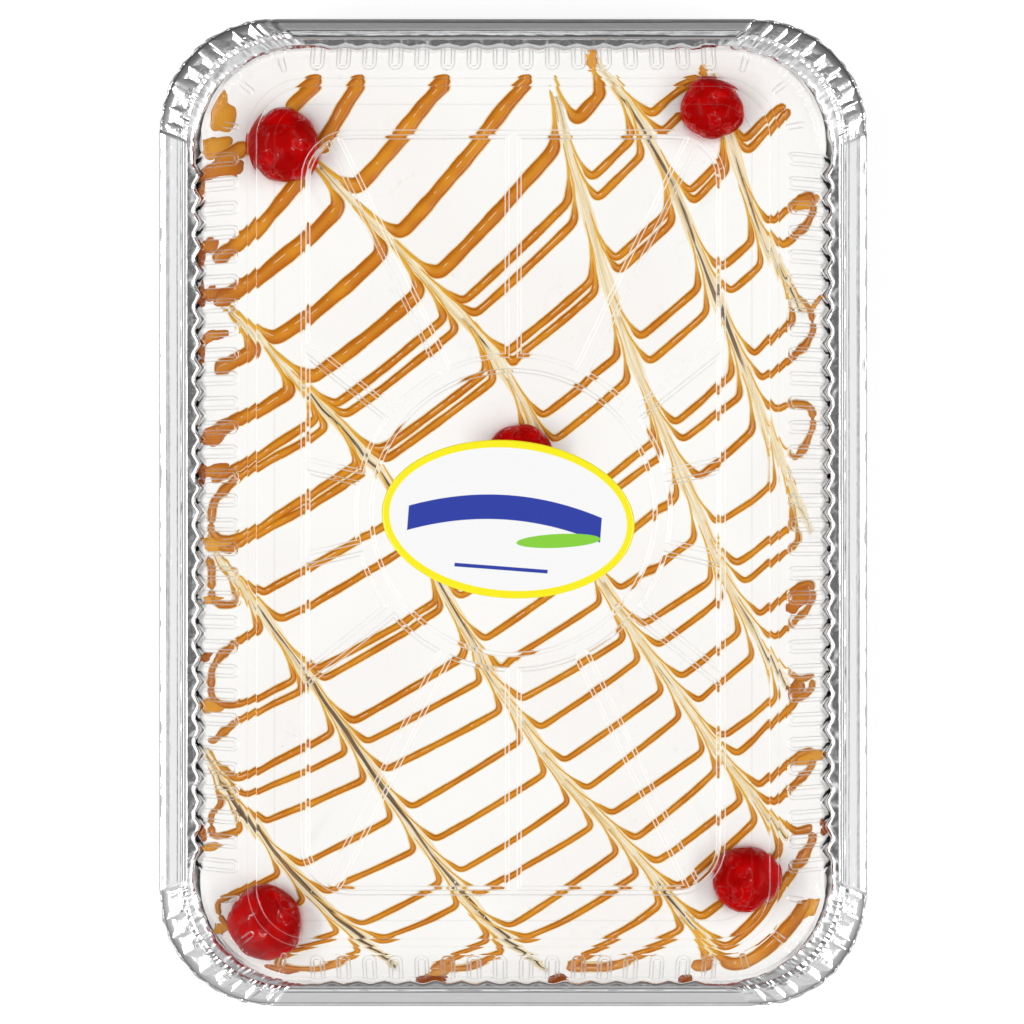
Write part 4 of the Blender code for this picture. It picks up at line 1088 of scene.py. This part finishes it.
def lid_wall(skin, softness, pace):
    """Rows of the wall's points from its foot to the top's edge, skin being how far under the
    outer side they lie, and the painted highlight at each row's tight bends; every pace-th row
    only."""
    spans = ((WALL_BASE, FLANGE_Z, WALL_UPPER, WALL_UPPER_Z, (0, .04, .12, .25, .5, .8)),
             (WALL_UPPER, WALL_UPPER_Z, WALL_TOP, WALL_TOP_Z,
              (0, .2, .35, .48, .6, .7, .8, .88, .95)),
             (WALL_TOP, WALL_TOP_Z, PLATEAU, PLATEAU_Z,
              (0, .06, .25, .44, .48, .52, .7, .91, .95, .99)))
    levels = [(between(low, high, share), low_z + (high_z - low_z) * share,
               high is PLATEAU and share)
              for low, low_z, high, high_z, shares in spans for share in shares]
    levels += [(inset(PLATEAU, gap), PLATEAU_Z, 0.0) for gap in
               (0.0004, PLATEAU_LINE - 0.0003, PLATEAU_LINE - 0.0001, PLATEAU_LINE + 0.0001,
                PLATEAU_LINE + 0.0003)]
    path = np.array([(level[0], height) for level, height, _ in levels])
    along = run_of(path)
    leaning = np.gradient(path, along, axis=0)
    leaning /= np.linalg.norm(leaning, axis=1)[:, None]
    rows, bends = [], []
    zigzag = 1 - 3.2 * np.abs(rib_phase - 0.5)
    flare = np.where(lid_corner, 0.0, np.where(lid_end, SHORT_FLARE, LONG_FLARE)) * zigzag
    for (level, height, ridge), so_far, (run, rise) in list(zip(levels, along, leaning))[::pace]:
        plan, normals = lid_outline(level)
        depth, shown = rib_depth(level)
        edge = RIB_EDGE * softness
        relief = 0.7 * step(depth, 0.0, edge) + 0.3 * step(depth, 0.0010, 0.0010 + edge)
        relief = relief * shown * RIB_HEIGHT * float(step(so_far, 0, FLARE_RISE))
        flared = flare * float(1 - step(so_far, 0.0002, FLARE_RISE))
        height += sum(RIDGE_HEIGHT * math.exp(-((ridge - at) / 0.028) ** 2)
                      for at in RIDGE_PLACES) * (skin == 0.0)
        rows.append(np.column_stack((plan + normals * (flared - skin * rise)[:, None],
                                     height + relief + skin * run)))
        bend = np.maximum(bright_line(depth - 0.0002), bright_line(depth - 0.0012) * ~lid_corner)
        bend = bend * shown * float(step(so_far, 0.001, 0.005))
        if min(abs(ridge - at) for at in RIDGE_PLACES) < 0.01:
            bend = np.full(lid_count, 0.6)
        if abs(PLATEAU[0] - level[0] - PLATEAU_LINE) < 0.0002:
            bend = np.full(lid_count, 0.3)
        bends.append(bend)
    return rows, bends


def lid_top(plan):
    """Height of the lid's top over plan points, with frame, spokes, ring and raised panels, and
    the painted highlight line along the sheet's tight bends there."""
    radius = np.hypot(plan[:, 0], plan[:, 1])
    angle = np.arctan2(plan[:, 0], plan[:, 1])
    pitch = 2 * math.pi / SPOKES
    off_spoke = (angle + pitch / 2) % pitch - pitch / 2
    spoke = np.abs(radius * np.sin(off_spoke)) - SPOKE_WIDTH / 2
    border = inside(plan, FIELD_INNER)
    panel = np.minimum(np.minimum(spoke, radius - RING_OUTER), border)
    raised = np.maximum(panel, RING_INNER - radius)
    frame_step = np.clip(-border / (FIELD_OUTER[0] - FIELD_INNER[0]), 0, 1)
    warp = 0.00008 * (np.sin(plan[:, 0] * 75 + 0.4) * np.sin(plan[:, 1] * 52 + 1.1)
                      + np.sin(plan[:, 0] * 41 - plan[:, 1] * 63))
    height = (FIELD_Z + PANEL_RISE * np.clip(raised / BEVEL_RUN, 0, 1)
              + (PLATEAU_Z - FIELD_Z) * frame_step + warp * step(border, -0.002, 0.004))
    bend = np.maximum(bright_line(raised), bright_line(raised - BEVEL_RUN))
    bend = np.maximum(bend, bright_line(border + FIELD_OUTER[0] - FIELD_INNER[0]))
    return height, bend


def reach_of(along, start, gap):
    """How far along a direction from a start the gap function of a point turns positive."""
    near, far = 0.0, 0.2
    for _ in range(40):
        middle = (near + far) / 2
        near, far = (middle, far) if gap(start + along * middle) < 0 else (near, middle)
    return near


def field_columns():
    """Directions and sideways starts of the top's columns, dense beside each spoke."""
    beside = (0.0, 0.0009, 0.0011, 0.0013, 0.0015, 0.0021, 0.0023, 0.0025, 0.0027)
    corner = math.atan2(FIELD_INNER[1] - 0.004, FIELD_INNER[0] - 0.004)
    corners = (corner, math.pi - corner, math.pi + corner, 2 * math.pi - corner)
    bends = [turn + offset for turn in corners for offset in np.linspace(-0.09, 0.09, 10)]
    columns = []
    for spoke in range(SPOKES):
        angle = math.pi / 2 + 2 * math.pi * spoke / SPOKES
        following = angle + 2 * math.pi / SPOKES
        shares = set(np.linspace(0, 1, 8)[1:-1])
        for bend in bends:
            for full in (0.0, 2 * math.pi):
                if angle + 0.028 < bend + full < following - 0.028:
                    shares.add((bend + full - angle) / (following - angle))
        columns += [(angle, off) for off in beside]
        columns += [(angle + (following - angle) * share, beside[-1] * (1 - 2 * share))
                    for share in sorted(shares)]
        columns += [(following, -off) for off in beside[:0:-1]]
    return columns


def rings_between(columns, inner_reach, outer_reach, inner_steps, outer_steps, fill):
    """Plan rings from an inner to an outer border, close together beside both; a column that
    meets a border at a slant has its steps drawn out to match."""
    rows = []
    for direction, off in columns:
        along = np.array((math.cos(direction), math.sin(direction)))
        start = np.array((-along[1], along[0])) * off
        inner, slant_in = inner_reach(along, start)
        outer, slant_out = outer_reach(along, start)
        distances = [inner + gap * slant_in for gap in inner_steps]
        last = [outer - gap * slant_out for gap in outer_steps[::-1]]
        distances += list(np.linspace(distances[-1], last[0], fill + 2)[1:-1]) + last
        rows.append([start + along * distance for distance in distances])
    return np.array(rows).transpose(1, 0, 2)


def circle_reach(radius):
    """How far the columns run out to a circle, and how much they slant against it."""
    return lambda along, start: (math.sqrt(radius ** 2 - start @ start), 1.0)


def box_reach(level):
    """How far the columns run out to a rounded rectangle, and how much they slant against it."""
    def reach(along, start):
        distance = reach_of(along, start, lambda point: -inside(point[None], level)[0])
        gain = inside((start + along * (distance - 0.0005))[None], level)[0] / 0.0005
        return distance, 1 / max(gain, 0.35)
    return reach


columns = field_columns()
field_count = len(columns)


def field_rings(steps, fill):
    """Plan rings over the whole top: the disc, the panels, then the step up to the frame."""
    disc = rings_between(columns, circle_reach(0.006), circle_reach(RING_INNER), (0.0,), steps, 1)
    panels = rings_between(columns, circle_reach(RING_OUTER), box_reach(FIELD_INNER), steps, steps,
                           fill)
    border = rings_between(columns, box_reach(FIELD_INNER), box_reach(inset(FIELD_OUTER, -0.0008)),
                           (0.0, 0.0006, 0.0011, 0.0013, 0.0015, 0.0017), (0.0, 0.0003), 0)[1:]
    return np.concatenate((disc, panels, border))


def stitched(inner, outer, inner_start, outer_start):
    """Triangles between two unlike closed rows, by whichever diagonal is shorter."""
    def from_east(ring):
        turns = np.arctan2(ring[:, 1], ring[:, 0]) % (2 * math.pi)
        order = np.argsort(turns)
        return np.append(order, order[0])
    a, b = from_east(inner), from_east(outer)
    faces, i, j = [], 0, 0
    while i < len(a) - 1 or j < len(b) - 1:
        ahead_a = np.linalg.norm(inner[a[i + 1]] - outer[b[j]]) if i < len(a) - 1 else math.inf
        ahead_b = np.linalg.norm(outer[b[j + 1]] - inner[a[i]]) if j < len(b) - 1 else math.inf
        if ahead_a <= ahead_b:
            faces.append((inner_start + a[i], outer_start + b[j], inner_start + a[i + 1]))
            i += 1
        else:
            faces.append((inner_start + a[i], outer_start + b[j], outer_start + b[j + 1]))
            j += 1
    return faces


def lid_side(skin, softness, field, pace):
    """One side of the sheet: the middle point, the top's rings, the stitch and the wall's rows."""
    plan = field.reshape(-1, 2)
    height, bend = lid_top(plan)
    top = np.column_stack((plan, height - skin))
    centre = np.array(((0.0, 0.0, FIELD_Z + PANEL_RISE - skin),))
    wall, wall_highlight_lines = lid_wall(skin, softness, pace)
    points = np.vstack([centre, top] + wall[::-1])
    faces = [(0, 1 + i, 1 + (i + 1) % field_count) for i in range(field_count)]
    faces += [face[::-1] for face in bands(len(field), field_count, 1)]
    wall_start = 1 + len(top)
    last_ring = 1 + (len(field) - 1) * field_count
    faces += stitched(field[-1], wall[-1][:, :2], last_ring, wall_start)
    faces += [face[::-1] for face in bands(len(wall), lid_count, wall_start)]
    bend = np.concatenate([(0.0,), bend] + wall_highlight_lines[::-1])
    return points, faces, wall_start + (len(wall) - 1) * lid_count, bend


outer_points, outer_faces, outer_foot, outer_highlight_lines = lid_side(
    0.0, 1.0, field_rings(BORDER_STEPS, 4), 1)
inner_points, inner_faces, inner_foot, _ = lid_side(
    LID_SKIN, 1.15, field_rings(INNER_STEPS, 4), 2)
flange_plan = lid_outline(FLANGE)[0]
flange = [np.column_stack((flange_plan, np.full(lid_count, height)))
          for height in (FLANGE_Z, FLANGE_Z - LID_SKIN)]
shift = len(outer_points)
lid_points = np.vstack([outer_points, inner_points] + flange)
lid_faces = outer_faces + [[shift + i for i in face][::-1] for face in inner_faces]
edge_start = shift + len(inner_points)
loops = [np.arange(lid_count) + base for base in
         (outer_foot, edge_start, edge_start + lid_count, shift + inner_foot)]
for low, high in zip(loops, loops[1:]):
    lid_faces += np.stack((low, high, np.roll(high, -1), np.roll(low, -1)), axis=-1).tolist()

lid_highlight_lines = np.concatenate((outer_highlight_lines, np.zeros(len(lid_points) - len(outer_highlight_lines))))

clear = Finish("clear_lid_sheet", IOR=1.2, Transmission_Weight=1.0,
               Specular_Tint=(0.35, 0.35, 0.35))
# Painted highlight: at tight bends, ridges and the top's fine line the sheet turns grey, partly
# metallic and rough
bend = clear.own("bend")
ripple = clear.noise(clear.place(), 160.0, 0.0)
clear.paint("Base Color", clear.mix(bend, (0.985, 0.987, 0.982), (0.95, 0.95, 0.94)))
clear.paint("Metallic", bend * 0.35)
clear.paint("Roughness", 0.008 + bend * 0.5)
clear.bump(ripple, 0.00004)
film = clear.node("BsdfTransparent", {}, {"Color": (0.95, 0.95, 0.945)})
shown = clear.shade
for ray in ("Is Diffuse Ray", "Is Shadow Ray"):
    met_by = clear.node("LightPath", {}, {}, ray)
    shown = clear.node("MixShader", {}, {0: met_by, 1: shown, 2: film})
clear.show(shown)
dome = dress("fluted_lid", lid_points, lid_faces, clear, {"bend": lid_highlight_lines}, ["lid"])
# The sheet is so thin that it hardly dims the cake
dome.visible_shadow = dome.visible_diffuse = dome.visible_glossy = False


# ---------------------------------------------------------------- label
# A stuck-on oval of coated paper on the lid's disc: white, with a broad yellow border, a plain
# blue arched band, a green leaf and a thin blue rule.

LABEL_LONG, LABEL_SHORT, LABEL_THICK = 0.038, 0.0237, 0.0002
LABEL_TURN = math.radians(-4.4)
LABEL_AT = (-0.0015, -0.0020)
LABEL_BORDER = 0.0023
LABEL_STEPS = 160
LABEL_RINGS = (0.1, 0.3, 0.5, 0.7, 0.85, 0.93, 0.98, 1.0)

label_base = FIELD_Z + PANEL_RISE + GAP
angles = np.arange(LABEL_STEPS) * 2 * math.pi / LABEL_STEPS
oval = np.column_stack((LABEL_LONG * np.cos(angles), LABEL_SHORT * np.sin(angles)))
cos, sin = math.cos(LABEL_TURN), math.sin(LABEL_TURN)
to_lid = np.array(((cos, sin), (-sin, cos)))
label_rows, label_print = [], []
for rings, height, side in ((LABEL_RINGS, label_base + LABEL_THICK, 1.0),
                            (LABEL_RINGS[::-1], label_base, -1.0)):
    for share in rings:
        grown(label_rows, oval @ to_lid * share + LABEL_AT, height)
        grown(label_print, oval * share, side)
label_faces = [face[::-1] for face in tube_faces(len(label_rows), LABEL_STEPS)]

paper = Finish("printed_label", Roughness=0.28, Coat_Weight=0.35, Coat_Roughness=0.12)
px, py = (paper.node("SeparateXYZ", {}, {0: paper.own("print", "Vector")}, axis) for axis in "XY")


def oval_share(x, y, half_long, half_short):
    """Squared distance from the middle of an oval, 1 on its outline."""
    x, y = x * (1 / half_long), y * (1 / half_short)
    return x * x + y * y


border = oval_share(px, py, LABEL_LONG - LABEL_BORDER, LABEL_SHORT - LABEL_BORDER)
border = border.step(0.985, 1.015)
arch = py - 0.0035 + px * px * 6.0
band = (1 - abs(arch).step(0.0036, 0.0038)) * (1 - abs(px + 0.001).step(0.0289, 0.0291))
rule = (1 - abs(py + 0.0148).step(0.0005, 0.0006)) * (1 - abs(px + 0.001).step(0.0139, 0.0141))
leaf = 1 - oval_share(px - 0.0155, py + 0.0072 - px * 0.12, 0.0125, 0.0021).step(0.96, 1.04)
fibre = paper.noise(paper.place(), 900.0, 2.0)
colour = paper.mix(band.most(rule), (0.90, 0.90, 0.90), (0.022, 0.045, 0.36))
colour = paper.mix(leaf, colour, (0.24, 0.62, 0.045))
colour = paper.mix(border, colour, (0.93, 0.83, 0.005))
paper.paint("Base Color", colour)
paper.bump(fibre, 0.00002)
sticker = dress("oval_label", np.vstack(label_rows), label_faces, paper,
                {"print": np.vstack(label_print)}, ["label"])
sticker.visible_shadow = sticker.visible_diffuse = False   # light fills in under it from all round


# ---------------------------------------------------------------- table, light and camera
# A plain white table under two big soft lamps, seen from straight above.

table_finish = Finish("white_table", Base_Color=(0.45, 0.45, 0.45), Roughness=0.6)
table_finish.bump(table_finish.noise(table_finish.place(), 300.0), 0.00002)
glow = table_finish.node("Emission", {}, {"Strength": 0.66})
lit = table_finish.node("AddShader", {}, {0: table_finish.shade, 1: glow})
table_finish.show(table_finish.node("MixShader", {}, {
    0: table_finish.node("LightPath", {}, {}, "Is Camera Ray"), 1: table_finish.shade, 2: lit}))
TABLE_HALF = 6.0
table_mesh = bpy.data.meshes.new("table")
table_mesh.from_pydata([(x * TABLE_HALF, y * TABLE_HALF, -0.0001)
                        for x, y in ((-1, -1), (1, -1), (1, 1), (-1, 1))], [], [(0, 1, 2, 3)])
table_mesh.materials.append(table_finish.block)
table = bpy.data.objects.new("table", table_mesh)
bpy.context.scene.collection.objects.link(table)

studio = Finish("studio", bpy.data.worlds, "Background")
bpy.context.scene.world = studio.block


def greys(value, *stops):
    """Grey levels along a value."""
    made = studio.node("ValToRGB", {}, {"Fac": value})
    elements = made.socket.node.color_ramp.elements
    for _ in stops[2:]:
        elements.new(0.5)
    for element, (place, level) in zip(elements, stops):
        element.position, element.color = place, (level, level, level, 1)
    return made


way = studio.node("TexCoord", {}, {}, "Generated")
up, forward = (studio.node("SeparateXYZ", {}, {0: way}, axis) for axis in "ZY")
rise = greys(up, (0.0, 0.45), (0.3, 0.55), (0.58, 0.7), (0.72, 0.95), (0.955, 1.0), (0.988, 0.1),
             (1.0, 0.1))
depth = greys(forward * 0.5 + 0.5,
              (0.1, 1.0), (0.24, 0.66), (0.33, 0.95), (0.44, 1.0), (0.54, 1.0),
              (0.6, 0.68), (0.66, 0.52), (0.724, 0.38), (0.8, 0.3), (1.0, 0.28))
sky = studio.node("Mix", {"data_type": "RGBA", "blend_type": "MULTIPLY"},
                  {0: 1.0, 6: rise, 7: depth}, 2)
seen = studio.node("LightPath", {}, {}, "Is Camera Ray")
studio.paint("Color", studio.mix(seen, sky, (0.95, 0.95, 0.95)))

LAMP_RISE, LAMP_AWAY, LAMP_SIZE = math.radians(50), 1.6, (1.5, 0.36)


def softbox(name, azimuth, power):
    """A soft lamp beside the cake, aimed at it."""
    lamp = bpy.data.lights.new(name, "AREA")
    lamp.shape = "RECTANGLE"
    lamp.size, lamp.size_y = LAMP_SIZE
    lamp.energy = power
    holder = bpy.data.objects.new(name, lamp)
    turn, out = math.radians(azimuth), LAMP_AWAY * math.cos(LAMP_RISE)
    holder.location = (out * math.cos(turn), out * math.sin(turn), LAMP_AWAY * math.sin(LAMP_RISE))
    holder.rotation_mode = "QUATERNION"
    holder.rotation_quaternion = holder.location.to_track_quat("Z", "Y")
    holder.visible_camera = False
    bpy.context.scene.collection.objects.link(holder)


softbox("lamp_left", 180, 10.2)
softbox("lamp_right", 0, 9.6)

CAMERA_AT = (-0.00035, 0.00015)
CAMERA_HEIGHT = 1.5
FRAME_WIDTH = 0.3111
camera = bpy.data.objects.new("camera", bpy.data.cameras.new("camera"))
camera.location = (*CAMERA_AT, 0.0412 + CAMERA_HEIGHT)
camera.data.sensor_width = 36
camera.data.lens = 36 * CAMERA_HEIGHT / FRAME_WIDTH
bpy.context.scene.collection.objects.link(camera)
bpy.context.scene.camera = camera
bpy.context.scene.view_settings.view_transform = "Standard"
